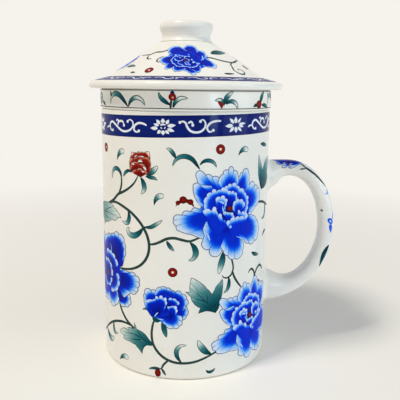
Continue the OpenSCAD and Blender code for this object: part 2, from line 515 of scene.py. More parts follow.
@dataclass
class WallSheet(Sheet):
    """An upright round wall: x runs round it from the front, turned by an angle, and y is z."""

    radius: float
    turn: float = 0.0     # degrees

    def place(self, flat: np.ndarray, lift: float) -> tuple[np.ndarray, np.ndarray]:
        """x / radius is the angle round the axis, and the lift adds to the radius."""
        normal = radial(flat[:, 0] / self.radius + np.radians(self.turn))
        return normal * (self.radius + lift) + np.outer(flat[:, 1], UP), normal


@dataclass
class ConeSheet(Sheet):
    """A cone rolled flat about one place on it, so that a drawing keeps its shape."""

    apex_z: float
    slope: float          # degrees below the horizontal
    turn: float           # degrees round the axis to the drawing's origin
    reach: float          # distance down the slope from the apex to the drawing's origin

    def place(self, flat: np.ndarray, lift: float) -> tuple[np.ndarray, np.ndarray]:
        """Polar coordinates about the apex: the flat angle over cos(slope) is the angle round.

        Args:
            flat, lift: as for every sheet.

        Returns:
            The points and the surface's normals.
        """
        slope = np.radians(self.slope)
        down = self.reach - flat[:, 1]
        distance = np.hypot(flat[:, 0], down)
        away = radial(np.arctan2(flat[:, 0], down) / np.cos(slope) + np.radians(self.turn))
        normal = away * np.sin(slope) + UP * np.cos(slope)
        ground = away * (distance * np.cos(slope))[:, None]
        return ground + np.outer(self.apex_z - distance * np.sin(slope), UP) + normal * lift, normal


@dataclass
class ProfileSheet(Sheet):
    """A turned surface: x runs round at a reference radius, and y runs along the section."""

    profile: np.ndarray   # (n, 2) of r, z
    radius: float

    def place(self, flat: np.ndarray, lift: float) -> tuple[np.ndarray, np.ndarray]:
        """The section's point at length y, moved along the section's own normal by the lift.

        Args:
            flat, lift: as for every sheet.

        Returns:
            The points and the surface's normals.
        """
        along = running_length(self.profile)
        slope = np.gradient(self.profile, along, axis=0)
        r, z, dr, dz = (np.interp(flat[:, 1], along, v) for v in (*self.profile.T, *slope.T))
        size = np.hypot(dr, dz)
        away = radial(flat[:, 0] / self.radius)
        normal = away * (dz / size)[:, None] - np.outer(dr / size, UP)
        return away * r[:, None] + np.outer(z, UP) + normal * lift, normal


class Taper(Enum):
    """How a brush mark's width runs: where it is widest, and how sharp its two ends are."""

    LINE = (0.5, 0.10, 0.10)
    VINE = (0.4, 0.16, 0.30)
    LEAF = (0.40, 0.75, 1.05)
    CRESCENT = (0.5, 0.8, 0.8)
    COMMA = (0.76, 1.15, 0.50)
    COMMA_TAIL = (0.12, 0.6, 0.9)
    DROP = (0.62, 0.9, 0.55)

    def width(self, t: np.ndarray) -> np.ndarray:
        """Share of the full width: a quarter sine wave up to the widest place and one down.

        Args:
            t: places along the mark, 0 to 1.

        Returns:
            The shares.
        """
        peak, start, end = self.value
        rise = np.sin(np.pi / 2 * np.clip(t / peak, 0, 1)) ** start
        fall = np.sin(np.pi / 2 * np.clip((1 - t) / (1 - peak), 0, 1)) ** end
        return np.maximum(np.where(t < peak, rise, fall), 0.03)


@dataclass
class Painter:
    """Lays brush marks on a sheet as thin closed enamel, each a little above the last."""

    sheet: Sheet
    prefix: str
    body: str
    shift: Pair = (0.0, 0.0)
    turn: float = 0.0              # degrees
    scale: float = 1.0
    first_lift: float = 0.018
    step: float = 0.004            # from one layer to the next
    bed: float = -0.06             # the underside, inside the porcelain
    bend_room: float = 0.85        # share of a bend's radius that a stroke's inner side may take
    lobe: float = 0.36             # swell of a petal's scallops
    valley: float = 2.2            # length of the short lines between them
    layer: int = 0
    marks: dict = field(default_factory=dict)

    def at(self, x: float, y: float, turn: float = 0.0, scale: float = 1.0, layer: int = 0,
           sheet: Sheet | None = None) -> "Painter":
        """The same painter with its drawings moved, turned, scaled or on another sheet.

        Args:
            x, y: where the drawing's own origin goes.
            turn: degrees, counterclockwise.
            scale: size of the drawing.
            layer: the layer that it starts on.
            sheet: another sheet to draw on.

        Returns:
            A painter that shares this one's marks.
        """
        return replace(self, sheet=sheet or self.sheet, shift=(x, y), turn=turn, scale=scale, layer=layer)

    def each(self, layer: int, mark: Callable, rows: tuple) -> None:
        """Makes one mark with each row of values.

        Args:
            layer: the layer that every one of them starts on.
            mark: the method that makes it.
            rows: the values for each.
        """
        for row in rows:
            self.layer = layer
            mark(*row)

    def lay(self, colour: Colour, grid: np.ndarray, shade: np.ndarray) -> None:
        """Adds one mark: the grid lifted off the glaze, its underside in it, and its rim.

        Args:
            colour: the painter's colour.
            grid: an array of (rows, columns, 2).
            shade: an array of (rows, columns), from 0, pale, to 1, full colour.
        """
        rows, columns = grid.shape[:2]
        a = np.radians(self.turn)
        spin = np.array([[np.cos(a), np.sin(a)], [-np.sin(a), np.cos(a)]])
        flat = grid.reshape(-1, 2) * self.scale @ spin + self.shift
        top, normal = self.sheet.place(flat, self.first_lift + self.step * self.layer)
        under, _ = self.sheet.place(flat, self.bed)
        quads = grid_faces(rows, columns)
        x, y = flat[quads].transpose(2, 0, 1)
        area = (x * np.roll(y, -1, axis=1) - y * np.roll(x, -1, axis=1)).sum()
        if area < 0:
            quads = quads[:, ::-1]
        number = np.arange(rows * columns).reshape(rows, columns)
        rim = np.concatenate([number[:-1, 0], number[-1, :-1], number[:0:-1, -1], number[0, :0:-1]])
        if area > 0:
            rim = rim[::-1]
        after = np.roll(rim, -1)
        count = rows * columns
        side = np.stack([after, rim, rim + count, after + count], axis=1)
        faces = np.vstack([quads, quads[:, ::-1] + count, side]).tolist()
        mesh = Mesh(np.vstack([top, under]), faces, np.tile(shade.reshape(-1), 2),
                    np.vstack([normal, -normal]))
        self.marks.setdefault(colour, []).append(mesh)
        self.layer += 1

    def stroke(self, colour: Colour, points: Line, width: float, taper: Taper = Taper.LINE,
               shade: Callable | float = 1.0, outline: float = 0.0, across: int = 3,
               curve: np.ndarray | None = None) -> None:
        """A brush stroke: a width carried along a smooth line, square to it.

        In a tight bend its inner side stops short of the bend's centre.

        Args:
            colour: the painter's colour.
            points: what the line passes through.
            width: the stroke's full width.
            taper: how the width runs.
            shade: the shade, or a function of t along and q across, -1 to 1.
            outline: width of a fine line round the stroke, or 0.
            across: number of vertices across it.
            curve: a finished line, used in place of the points.
        """
        line = smooth_curve(points, 0.45 / self.scale) if curve is None else curve
        along = np.gradient(line, axis=0)
        size = np.maximum(np.linalg.norm(along, axis=1), 1e-9)
        along /= size[:, None]
        normal = np.stack([-along[:, 1], along[:, 0]], axis=1)
        bend = (np.gradient(along, axis=0) * normal).sum(axis=1) / size
        t = np.linspace(0, 1, len(line))
        half = taper.width(t) * width / 2
        left = np.minimum(half, self.bend_room / np.maximum(bend, 1e-3))
        right = np.minimum(half, self.bend_room / np.maximum(-bend, 1e-3))
        q = np.linspace(-1, 1, across)
        reach = np.where(q > 0, left[:, None] * q, right[:, None] * q)
        grid = line[:, None] + normal[:, None] * reach[:, :, None]
        tone = shade(t[:, None], q[None, :]) if callable(shade) else shade
        self.lay(colour, grid, np.broadcast_to(np.clip(tone, 0, 1), grid.shape[:2]))
        if outline:
            for edge in (grid[:, 0], grid[:, -1]):
                self.stroke(Colour.STEM, (), outline, Taper.LINE, 0.85, across=2, curve=edge)

    def fan(self, base: Pair, edge: np.ndarray) -> tuple[np.ndarray, np.ndarray, np.ndarray]:
        """Straight lines from a base to an edge. None of them turns back past its neighbour.

        Args:
            base: the point that they start from.
            edge: an array of (n, 2).

        Returns:
            The edge as it is then, the grid of points (n, rows, 2), and the rows' shares.
        """
        ray = edge - np.asarray(base)
        length = np.linalg.norm(ray, axis=1)
        angle = np.unwrap(np.arctan2(ray[:, 1], ray[:, 0]))
        way = 1.0 if angle[-1] > angle[0] else -1.0
        angle = way * (np.maximum.accumulate(way * angle) + 1e-4 * np.arange(len(edge)))
        ray = length[:, None] * np.stack([np.cos(angle), np.sin(angle)], axis=1)
        rows = max(int(length.max() * self.scale / 1.05), 5)
        v = np.linspace(0.05, 1, rows + 1)
        return np.asarray(base) + ray, np.asarray(base) + ray[:, None] * v[None, :, None], v

    def petal(self, base: Pair, cusps: Line, pale: float = 0.4, fade: float = 3.6,
              deep: float = 0.30, colour: Colour = Colour.COBALT, outline: float = 0.3,
              full: float = 0.68) -> None:
        """A petal: straight lines from its base to its scalloped edge, pale at the edge.

        The shade grows with the distance in from the edge's smoothed line, as its 0.85th power
        over the fade and slowly from there to the base. The sides near the base have no pale
        rim. Three sine waves along the edge streak it, and short lines run in between scallops.

        Args:
            base: the point that the petal grows from.
            cusps: the valleys between its scallops.
            pale: width of the pale rim.
            fade: length of the change from the rim to the full colour.
            deep: how much the shade grows from the fade's end to the base.
            colour: the painter's colour.
            outline: width of the fine line round its edge, or 0.
            full: the shade at the fade's end.
        """
        edge = scalloped_edge(base, cusps, self.lobe, 0.60 / self.scale)
        edge, grid, v = self.fan(base, edge)
        length = np.linalg.norm(edge - np.asarray(base), axis=1)
        reach = max(len(edge) // 6, 2)
        padded = np.pad(length, reach, mode="edge")
        smooth = np.convolve(padded, np.full(2 * reach + 1, 1 / (2 * reach + 1)), mode="valid")
        s = running_length(edge)
        smooth = np.maximum(smooth, 0.66 * length.max())
        streak = np.sin(3.9 * s + base[0]) + np.sin(2.3 * s + 1.7) + 0.7 * np.sin(5.6 * s + base[1])
        inward = smooth[:, None] - length[:, None] * v - pale + 0.03 * fade * streak[:, None]
        rise = np.clip(inward / fade, 0, 1)
        sink = np.clip((inward - fade) / (0.7 * length.max()), 0, 1)
        self.lay(colour, grid, full * rise**0.85 + deep * sink)
        line = Colour.STEM if colour is Colour.RED else Colour.OUTLINE
        if outline:
            self.stroke(line, (), outline, Taper.LINE, 0.65, across=2, curve=edge)
        if outline and line is Colour.OUTLINE:
            for before, after in zip(cusps[1:-1], cusps[2:]):
                if min(before[2], after[2]) >= 0.25:
                    tip = np.array(before[:2])
                    way = np.asarray(base) - tip
                    inner = tip + way / np.linalg.norm(way) * self.valley
                    self.stroke(line, (tip, inner), 0.9 * outline, Taper.COMMA_TAIL, 0.6, across=2)
                    self.layer -= 1

    def blade(self, base: Pair, root: Pair, outline: Line, veins: tuple[Line, ...],
              depth: float = 1.0, line: float = 0.25) -> None:
        """A lobed leaf: dark where it grows from, washed out to its tips, with dark veins.

        The shade falls with the distance from the root, as a share of the farthest tip's.

        Args:
            base: a point that the whole outline is seen from.
            root: the point that it grows from.
            outline: its tips and the valleys between them, as (x, y, swell of the edge there).
            veins: lines along its lobes.
            depth: shade at the root.
            line: width of the fine line round it.
        """
        edge = scalloped_edge(base, outline, 0.08, 0.42 / self.scale)
        edge, grid, _ = self.fan(base, edge)
        share = np.linalg.norm(grid - np.asarray(root), axis=2)
        share /= share.max()
        s = running_length(edge)
        streak = 0.06 * (np.sin(3.1 * s) + np.sin(1.9 * s + 2))[:, None]
        tone = np.clip(depth * (1 - 1.02 * share**1.25) + streak * share, 0, 1)
        self.lay(Colour.LEAF, grid, tone)
        self.disc(Colour.LEAF, base, 0.09 * np.ptp(edge[:, 0]), shade=float(tone[:, 0].mean()))
        for vein in veins:
            self.stroke(Colour.LEAF, vein, 0.55, Taper.COMMA_TAIL, 0.85)
            self.layer -= 1
        self.layer += 1
        self.stroke(Colour.STEM, (), line, Taper.LINE, 0.75, across=2, curve=edge)

    def disc(self, colour: Colour, centre: Pair, radius: float, squash: float = 1.0,
             inner: float = 0.0, shade: Callable | float = 1.0) -> None:
        """A round spot or ring: circles about a centre, from an inner radius to an outer one.

        Args:
            colour: the painter's colour.
            centre: its middle.
            radius: its half width.
            squash: its height over its width.
            inner: radius of the hole as a share of the whole.
            shade: the shade, or a function of the share of the radius.
        """
        angle = np.linspace(0, 2 * np.pi, max(int(2 * np.pi * radius * self.scale / 0.35), 16) + 1)
        share = np.linspace(max(inner, 0.02), 1, max(int(radius * self.scale / 0.5), 2) + 1)
        ray = np.stack([np.cos(angle), squash * np.sin(angle)], axis=1)
        grid = np.asarray(centre) + radius * ray[:, None] * share[None, :, None]
        tone = shade(share[None, :]) if callable(shade) else shade
        self.lay(colour, grid, np.broadcast_to(np.clip(tone, 0, 1), grid.shape[:2]))

    def leaf(self, points: Line, width: float, pale: float = 0.75, taper: Taper = Taper.LEAF,
             outline: float = 0.28) -> None:
        """A leaf: dark along its base and spine, washed out to the tip, with a fine dark outline.

        Args:
            points: its spine, from the base to the tip.
            width: its full width.
            pale: how far the tip pales.
            taper: how the width runs.
            outline: width of the line round it.
        """
        across = max(3, int(width * self.scale / 0.6) + 2)
        self.stroke(Colour.LEAF, points, width, taper, outline=outline, across=across,
                    shade=lambda t, q: 0.95 - 1.12 * pale * np.clip(t / 0.85, 0, 1)**1.7 + 0 * q)

    def curl(self, points: Line, width: float, pale: float = 0.75, outline: float = 0.28) -> None:
        """A leaf as narrow at its base as at its tip."""
        self.leaf(points, width, pale, Taper.CRESCENT, outline)

    def comma(self, *points: Pair) -> None:
        """A pale drop with a curved tail."""
        self.leaf(points, 2.3, 1.0, Taper.COMMA, 0.26)

    def white(self, points: Line, width: float, taper: Taper = Taper.VINE) -> None:
        """A white line left in the blue, a little bluer at its sides."""
        self.stroke(Colour.RESERVE, points, width, taper, lambda t, q: 0.5 * q**2 + 0 * t)

    def vine(self, points: Line, width: float = 1.25) -> None:
        """A stem of nearly even width, dark green with slightly paler edges."""
        self.stroke(Colour.STEM, points, width, Taper.VINE, lambda t, q: 0.52 + 0.45 * abs(q) + 0 * t)

    def berry(self, x: float, y: float, radius: float = 2.15) -> None:
        """A red ring about a white dot, darker at its rim."""
        self.disc(Colour.RED, (x, y), radius, inner=0.24, shade=lambda r: 0.35 + 0.6 * r**2)

    def build(self, materials: dict[Colour, bpy.types.Material]) -> None:
        """Makes one piece for each colour that was used.

        Args:
            materials: each colour's enamel.
        """
        for colour, meshes in self.marks.items():
            name = f"{self.prefix}_{colour.name.lower()}"
            add_piece(name, joined(meshes), materials[colour], self.body)


def add_piece(name: str, mesh: Mesh, material: bpy.types.Material, body: str,
              replaces: tuple[str, ...] = (), merge: float = 0.0) -> None:
    """Makes a finished piece at the origin, in metres, riding on its body.

    Args:
        name: the piece's name.
        mesh: its surface, in millimetres.
        material: its finish.
        body: the body that it moves with.
        replaces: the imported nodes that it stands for.
        merge: distance in millimetres under which vertices are merged, or 0.
    """
    data = bpy.data.meshes.new(name)
    data.from_pydata((mesh.points * MM).tolist(), [], mesh.faces)
    if mesh.shade is not None:
        data.attributes.new("shade", "FLOAT", "POINT").data.foreach_set("value", mesh.shade)
    if merge:
        work = bmesh.new()
        work.from_mesh(data)
        bmesh.ops.remove_doubles(work, verts=work.verts, dist=merge * MM)
        bmesh.ops.recalc_face_normals(work, faces=work.faces)
        work.to_mesh(data)
        work.free()
    data.polygons.foreach_set("use_smooth", np.ones(len(data.polygons), bool))
    if mesh.normals is not None:
        data.normals_split_custom_set_from_vertices(mesh.normals.tolist())
    data.update()
    piece = bpy.data.objects.new(name, data)
    bpy.context.scene.collection.objects.link(piece)
    data.materials.append(material)
    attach(piece, body)
    if replaces:
        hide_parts(*replaces)
    log.info("%s: %d faces on %s", name, len(data.polygons), body)


# ---- flowers

@dataclass(frozen=True)
class Petal:
    """One petal of a flower, in the flower's own millimetres."""

    base: Pair
    cusps: Line
    pale: float = 0.2
    fade: float = 1.3
    deep: float = 0.30     # how much darker the base is than the end of the fade


@dataclass(frozen=True)
class Flower:
    """A painted flower: outer petals, a dark bed, inner petals, light touches and a heart."""

    bed: tuple[float, float, float, float]       # x, y, radius and squash
    outer: tuple[Petal, ...]
    inner: tuple[Petal, ...]
    touches: Strokes      # pale strokes and their widths
    heart: tuple[float, float, float] = (0.0, 0.0, 1.2)

    def paint(self, brush: Painter, rim: float = 1.0, full: float = 0.75) -> None:
        """Paints the flower on the brush's sheet.

        Args:
            brush: a painter at the flower's place.
            rim: how wide its pale rims are, as a share of their own widths.
            full: the shade of its petals inside their rims.
        """
        for petal in self.outer:
            brush.petal(petal.base, petal.cusps, petal.pale * rim, petal.fade * 1.4 * rim, petal.deep,
                        full=full)
        x, y, radius, squash = self.bed
        brush.disc(Colour.COBALT, (x, y), radius, squash, shade=lambda r: 0.98 - 0.24 * r**1.5)
        for petal in self.inner:
            brush.petal(petal.base, petal.cusps, petal.pale * rim, petal.fade * 1.8 * rim, petal.deep,
                        outline=0, full=full)
        for points, width in self.touches:
            brush.stroke(Colour.COBALT, points, width, Taper.DROP,
                         lambda t, q: 0.10 + 0.32 * q**2 + 0 * t)
        x, y, radius = self.heart
        if radius:
            brush.disc(Colour.NAVY, (x - 0.2, y - 0.3), radius * 1.5, 0.8, shade=1.0)
            brush.disc(Colour.RED, (x, y), radius, 0.85, shade=lambda r: 0.40 + 0.5 * r)


PEONY = Flower(
    bed=(0.3, -2.2, 11.2, 1),
    outer=(
        Petal((-3, 4), ((-13.9, 10.6), (-14.8, 12.8, 0.15), (-11.3, 14.9, 0.85), (-8.6, 13.7, 0.35),
            (-5.2, 12.8, 0.35), (-3.2, 9.5, 0.02)), 0.6, 4.4),
        Petal((-3, 1), ((-12, 0.6), (-14.2, 3.1, 0.05), (-16.3, 7.2, 0.08), (-16.7, 9.9, 0.08),
            (-13.9, 10.9, 0.5), (-9, 10.5, 0.02)), 0.2, 2.2),
        Petal((1.5, 2), ((9.5, 14.5), (10.8, 12.2, 0.1), (11.2, 9.4, 0.05)), 0.4, 2.6),
        Petal((2, 3), ((4, 12.5), (5.2, 13.9, 0.1), (6.9, 15.2, 0.3), (10.5, 14.9, 0.5), (10.9, 10.8, 0.1)),
            0.5, 3.4),
        Petal((0, 3), ((-5.6, 11.5), (-5.3, 13.4, 0.1), (-3.4, 15.2, 0.15), (-1, 16.4, 0.45),
            (1.6, 16.1, 0.8), (3.8, 14.9, 0.35), (4.4, 11.5, 0.1)), 0.5, 3.4),
        Petal((2, 0), ((10.6, 9.4), (11.6, 9.6, 0.1), (14.9, 8.2, 0.5), (17.8, 6.9, 0.35), (19.6, 4.9, 0.4),
            (19.4, 0.8, 0.2), (16.4, -1, 0.12), (12.6, -3.6, 0.1)), 0.6, 4),
        Petal((-3, -2.5), ((-10.6, 0.9), (-13.6, 0.6, 0.3), (-17.2, -0.4, 0.35), (-21, -1.9, 0.35),
            (-24.8, -4.2, 0.35), (-23.4, -6.4, 0.35), (-22.4, -8.8, 0.35), (-17.2, -10.3, 0.06),
            (-11.9, -12.6, 0.04), (-9, -13, 0.02)), 0.6, 4.4, 0.16),
        Petal((0.5, -5), ((10.6, -4.3), (14.6, -5.1, 0.1), (17.6, -7.6, 0.15), (19.7, -11, 0.18),
            (19.6, -14.5, 0.22), (16.4, -16.6, 0.38), (12.2, -16.9, 0.35), (9.3, -15.4, 0.3),
            (6, -13.6, 0.04)), 0.6, 4.2, 0.08),
        Petal((-1.5, -5), ((-11, -5), (-12.3, -8, 0.03), (-11.6, -11.2, 0.05), (-12.2, -13.5, 0.1),
            (-9.2, -17, 0.42), (-3.7, -18.6, 0.55), (-2.4, -16, 0.02)), 0.3, 3.4, 0.06),
        Petal((0.5, -6), ((6.4, -14), (7.9, -19.8, 0.22), (3.4, -22.8, 0.35), (-0.1, -21, 0.3),
            (-2.5, -18.8, 0.25), (-3.9, -16.6, 0.1)), 0.7, 3.8, 0.06),
    ),
    inner=(
        Petal((1, 2.5), ((-3.4, 8.2), (-2.6, 9.2, 0.1), (-1, 9.4, 0.5), (0.9, 10, 0.6), (3.2, 9.5, 0.6),
            (5.2, 8.2, 0.3), (6.2, 6.4, 0.2)), 0.15, 1.2),
        Petal((-2.5, -1), ((-11.6, 0.6), (-11.6, 3, 0.15), (-10.6, 5.6, 0.35), (-8.4, 7, 0.5),
            (-6.4, 7.6, 0.85), (-4.4, 8.1, 0.35), (-2.2, 8.6, 0.5), (-1, 7.4, 0.3)), 0.15, 1.3),
        Petal((2, 0), ((5, 7.6), (7.6, 6.2, 0.5), (9, 4.4, 0.4), (10.2, 2.6, 0.6), (9.9, 0.2, 0.35),
            (9.9, -1.8, 0.4), (8.6, -3.8, 0.2)), 0.15, 1.2),
        Petal((0.5, 0.5), ((-1.2, 7), (0.6, 6.6, 0.55), (2.3, 6.6, 0.6), (3.4, 5.2, 0.5), (3.6, 3.6, 0.3)),
            0.15, 1),
        Petal((-6, -3), ((-6.8, 4.2), (-4.6, 5.1, 0.4), (-2.6, 4.5, 0.6), (-1.9, 2.9, 0.6),
            (-2.5, 1.2, 0.3), (-2.2, -0.6, 0.1)), 0.35, 1.5),
        Petal((4.8, -4), ((1.7, -0.8), (1.9, 1.6, 0.1), (3.1, 2.9, 0.35), (5.3, 3, 0.4), (7.4, 2.2, 0.4),
            (8.4, 0.2, 0.3)), 0.2, 1.5),
        Petal((-0.5, -6), ((-3.3, -1.8), (-1.6, -2.2, 0.55), (0.4, -2.3, 0.5), (1.9, -3.2, 0.5),
            (2.6, -4.6, 0.2)), 0.2, 1),
        Petal((4, -9.5), ((4.4, -3.8), (6.4, -3.2, 1.15), (8.3, -4, 0.75), (10.6, -4.6, 0.5)), 0.2, 1.2),
        Petal((-5.5, -12), ((-12.4, -0.8), (-9.2, -0.3, 0.35), (-8.4, -0.6, 0.3), (-6.4, -0.6, 1),
            (-5.7, -2.7, 0.1), (-4, -3.3, 0.65), (-3.6, -5.4, 0.15), (-2.1, -6.2, 0.6), (-0.6, -6.8, 0.5)),
            0.25, 1.5, 0),
        Petal((2.5, -14), ((-1.2, -7), (0.6, -5.9, 0.6), (3, -5.2, 0.55), (5.6, -4.9, 0.4),
            (8.2, -5.2, 0.35), (11, -4.6, 0.25)), 0.25, 1.5, 0),
    ),
    touches=(
        (((-5.6, 3.6), (-4.2, 3.3), (-2.9, 2.2)), 1.1),
        (((-3.6, 1.6), (-3.3, -0.2), (-2.4, -1.8)), 0.7),
        (((0, -8.7), (0.5, -8.3), (1.3, -8)), 1.5),
        (((3.7, -12.9), (6.9, -14.2), (10.6, -15.6)), 0.6),
        (((-19.5, -9.4), (-16, -10), (-12.8, -11.4)), 0.45),
        (((-12, -8), (-10.5, -10.3), (-9.2, -13.6)), 1),
        (((-15.2, 5.2), (-14.5, 3.4), (-13.2, 1.8)), 0.45),
    ),
)

OPEN_PEONY = Flower(
    bed=(0, 1, 11, 0.95),
    outer=(
        Petal((0, 0), ((-1, -11.6), (-6, -13.5, 0.35), (-12, -12, 0.35), (-16, -6, 0.3), (-16.5, 1, 0.3),
            (-13, 4, 0.2)), 0.6, 3),
        Petal((0, 1), ((-13, 3), (-17, 9, 0.3), (-13, 15.5, 0.35), (-6, 15, 0.3)), 0.6, 3.4),
        Petal((2, -2), ((13.6, -5.6), (16.9, -8.8, 0.3), (16.2, -11.4, 0.35), (13.7, -12.3, 0.35),
            (10.5, -12.6, 0.3), (8, -10.4, 0.05)), 0.7, 1.6),
        Petal((2, -1), ((8.6, -9.4), (6, -13.8, 0.3), (1.5, -14.6, 0.3), (-1.8, -11.5, 0.3)), 0.8, 3.2),
        Petal((3, 2), ((-6.4, 13.5), (-2, 17.2, 0.3), (2.5, 17.6, 0.35), (6, 19.4, 0.35), (9.8, 20.2, 0.4),
            (13.2, 17.4, 0.4), (13.8, 14.4, 0.3), (13.4, 10.8, 0.25), (12, 6, 0.05)), 0.2, 1.9),
        Petal((2, 0), ((11.6, 4.2), (16.4, 4.1, 0.05), (20.2, 3.2, 0.3), (22, 0.6, 0.4), (21, -2, 0.35),
            (20.6, -4.2, 0.4), (17.6, -4.9, 0.35), (13, -8.6, 0.05)), 0.4, 3.6),
    ),
    inner=(
        Petal((3, 1), ((-3, 9.6), (0.4, 10.2, 0.4), (3.4, 9.6, 0.4), (6.2, 8, 0.5), (8.2, 5.2, 0.4)),
            0.3, 1.4),
        Petal((2, -1.5), ((8, 1.6), (9, -1.2, 0.4), (8.2, -4.4, 0.4), (5.4, -6.8, 0.4), (2, -7.8, 0.35)),
            0.3, 1.4),
        Petal((-1.5, -1.5), ((-5.4, 4.8), (-2.4, 5.6, 0.4), (0.6, 4.8, 0.4), (2.8, 2.6, 0.45),
            (3, -1, 0.35)), 0.2, 1.2),
        Petal((-2, -3.5), ((2.8, -1.8), (1.6, -4.4, 0.3), (-1.6, -5.8, 0.4), (-5, -5.6, 0.4),
            (-7.4, -3.2, 0.35)), 0.2, 1.2),
    ),
    touches=(
        (((1.6, 3.6), (2.6, 1.6), (2.2, -1)), 0.9),
        (((2.4, 14.5), (3.2, 12.6), (3, 10.6)), 0.6),
        (((8.6, -9.8), (8, -8), (6.8, -6.6)), 0.7),
    ),
    heart=(-0.8, 0, 1.2),
)

HALF_PEONY = Flower(
    bed=(-0.6, 0.6, 6.2, 0.8),
    outer=(
        Petal((-2.5, -3.5), ((-5, -6), (-8.8, -1.2, 0.08), (-9.6, 2.8, 0.1), (-9.2, 4.8, 0.3),
            (-6.2, 6.6, 0.5), (-3.2, 6, 0.3), (-2, 4, 0.05)), 0.4, 2.4),
        Petal((0.5, -2.5), ((9.2, 0.6), (10, -1, 0.3), (9.6, -3.8, 0.3), (7.4, -5.8, 0.3)), 0.3, 1.8),
        Petal((0.5, -1.5), ((-4, 4.4), (-3.4, 7.4, 0.2), (-1.4, 8.6, 0.3), (1, 8.4, 0.3), (3, 7.4, 0.35),
            (4.8, 6.4, 0.35), (7.6, 6, 0.5), (9.6, 3.8, 0.35), (9.4, 0.8, 0.35), (8.6, -1.4, 0.1)),
            0.1, 1.7),
        Petal((-0.5, -2.5), ((7.2, -4), (7.6, -6.4, 0.3), (6.6, -8.6, 0.35), (4.2, -9.6, 0.35),
            (0.8, -8.6, 0.3), (-2.4, -6, 0.1), (-4, -5.6, 0.05)), 0.7, 2.8),
    ),
    inner=(
        Petal((-3.4, -5.2), ((-8.6, 1.4), (-5.4, 2.2, 0.2), (-4, 2.6, 0.4), (-2.4, 3.4, 0.9),
            (-0.6, 3.4, 0.9), (0.8, 2.6, 0.8), (0.4, 0.6, 0.3), (0.2, -2, 0.05)), 0.6, 0.9),
        Petal((2.6, -6), ((1.6, -0.8), (2.4, 0.2, 0.6), (4.2, 0.2, 0.8), (5.4, -0.8, 0.6), (5.2, -2.4, 0.4),
            (4.4, -4.6, 0.2)), 0.8, 0.9),
        Petal((1.6, 0), ((2, 3.6), (3.6, 3.6, 0.4), (5.4, 2.8, 0.4), (6.4, 1.2, 0.4)), 0.2, 1),
    ),
    touches=(
        (((-4.8, -5.6), (-4, -4.4), (-2.8, -3)), 0.7),
        (((-3.2, -6), (-1.6, -6.2), (-0.2, -6.4)), 0.7),
    ),
    heart=(0, 0, 0),
)


def paint_rosebud(brush: Painter) -> None:
    """A closed red bud: a dark crown, two side petals and two front ones, with thin pink rims.

    Args:
        brush: a painter at the middle of the bud.
    """
    for base, cusps in (
        ((0, -3), ((-4.9, 1.2), (-4.2, 3.8, 0.15), (-2.7, 4.4, 0.7), (-1.3, 4.5, 0.5), (0.5, 4.8, 0.5),
                   (2.2, 4.9, 0.4), (4.6, 5.8, 0.15), (4.8, 1, 0.1))),
        ((-0.6, -4), ((-3.8, -3.4), (-5.2, -0.6, 0.2), (-4.9, 2, 0.15), (-2.6, 1.6, 0.3), (-1, 2.6, 0.5),
                      (1.6, 3, 0.4))),
        ((1, -4), ((-0.6, 1.4), (1.6, 2.2, 0.3), (4.6, 2.6, 0.3), (5.3, -0.4, 0.15), (4, -3.6, 0.2))),
        ((-0.2, -4.8), ((-4.4, -2.2), (-3.6, 0.2, 0.25), (-0.2, -0.2, 0.3), (2.6, -0.6, 0.3),
                        (2.4, -3.6, 0.2))),
        ((0.6, -5.4), ((-3.6, -3.9), (-1.2, -2.6, 0.3), (1.6, -2.4, 0.35), (3.8, -3.6, 0.2))),
    ):
        brush.petal(base, cusps, 0.28, 0.7, colour=Colour.RED, outline=0.2)
    for points, width in (
        (((-0.8, 1), (0.5, 1.6), (1.7, 1.2)), 0.75), (((1.7, -0.8), (2.8, -1.4), (3.3, -2.4)), 0.8),
        (((-4.2, 0.4), (-2.5, -0.3)), 0.6), (((0.9, -2.6), (2.4, -3.2)), 0.5),
        (((-2.8, 3.2), (-1, 3.9)), 0.4), (((0.8, 3.7), (2.4, 3.4)), 0.45),
    ):
        brush.stroke(Colour.RESERVE, points, width, Taper.CRESCENT, 0.2)


# ---- the mug's painting

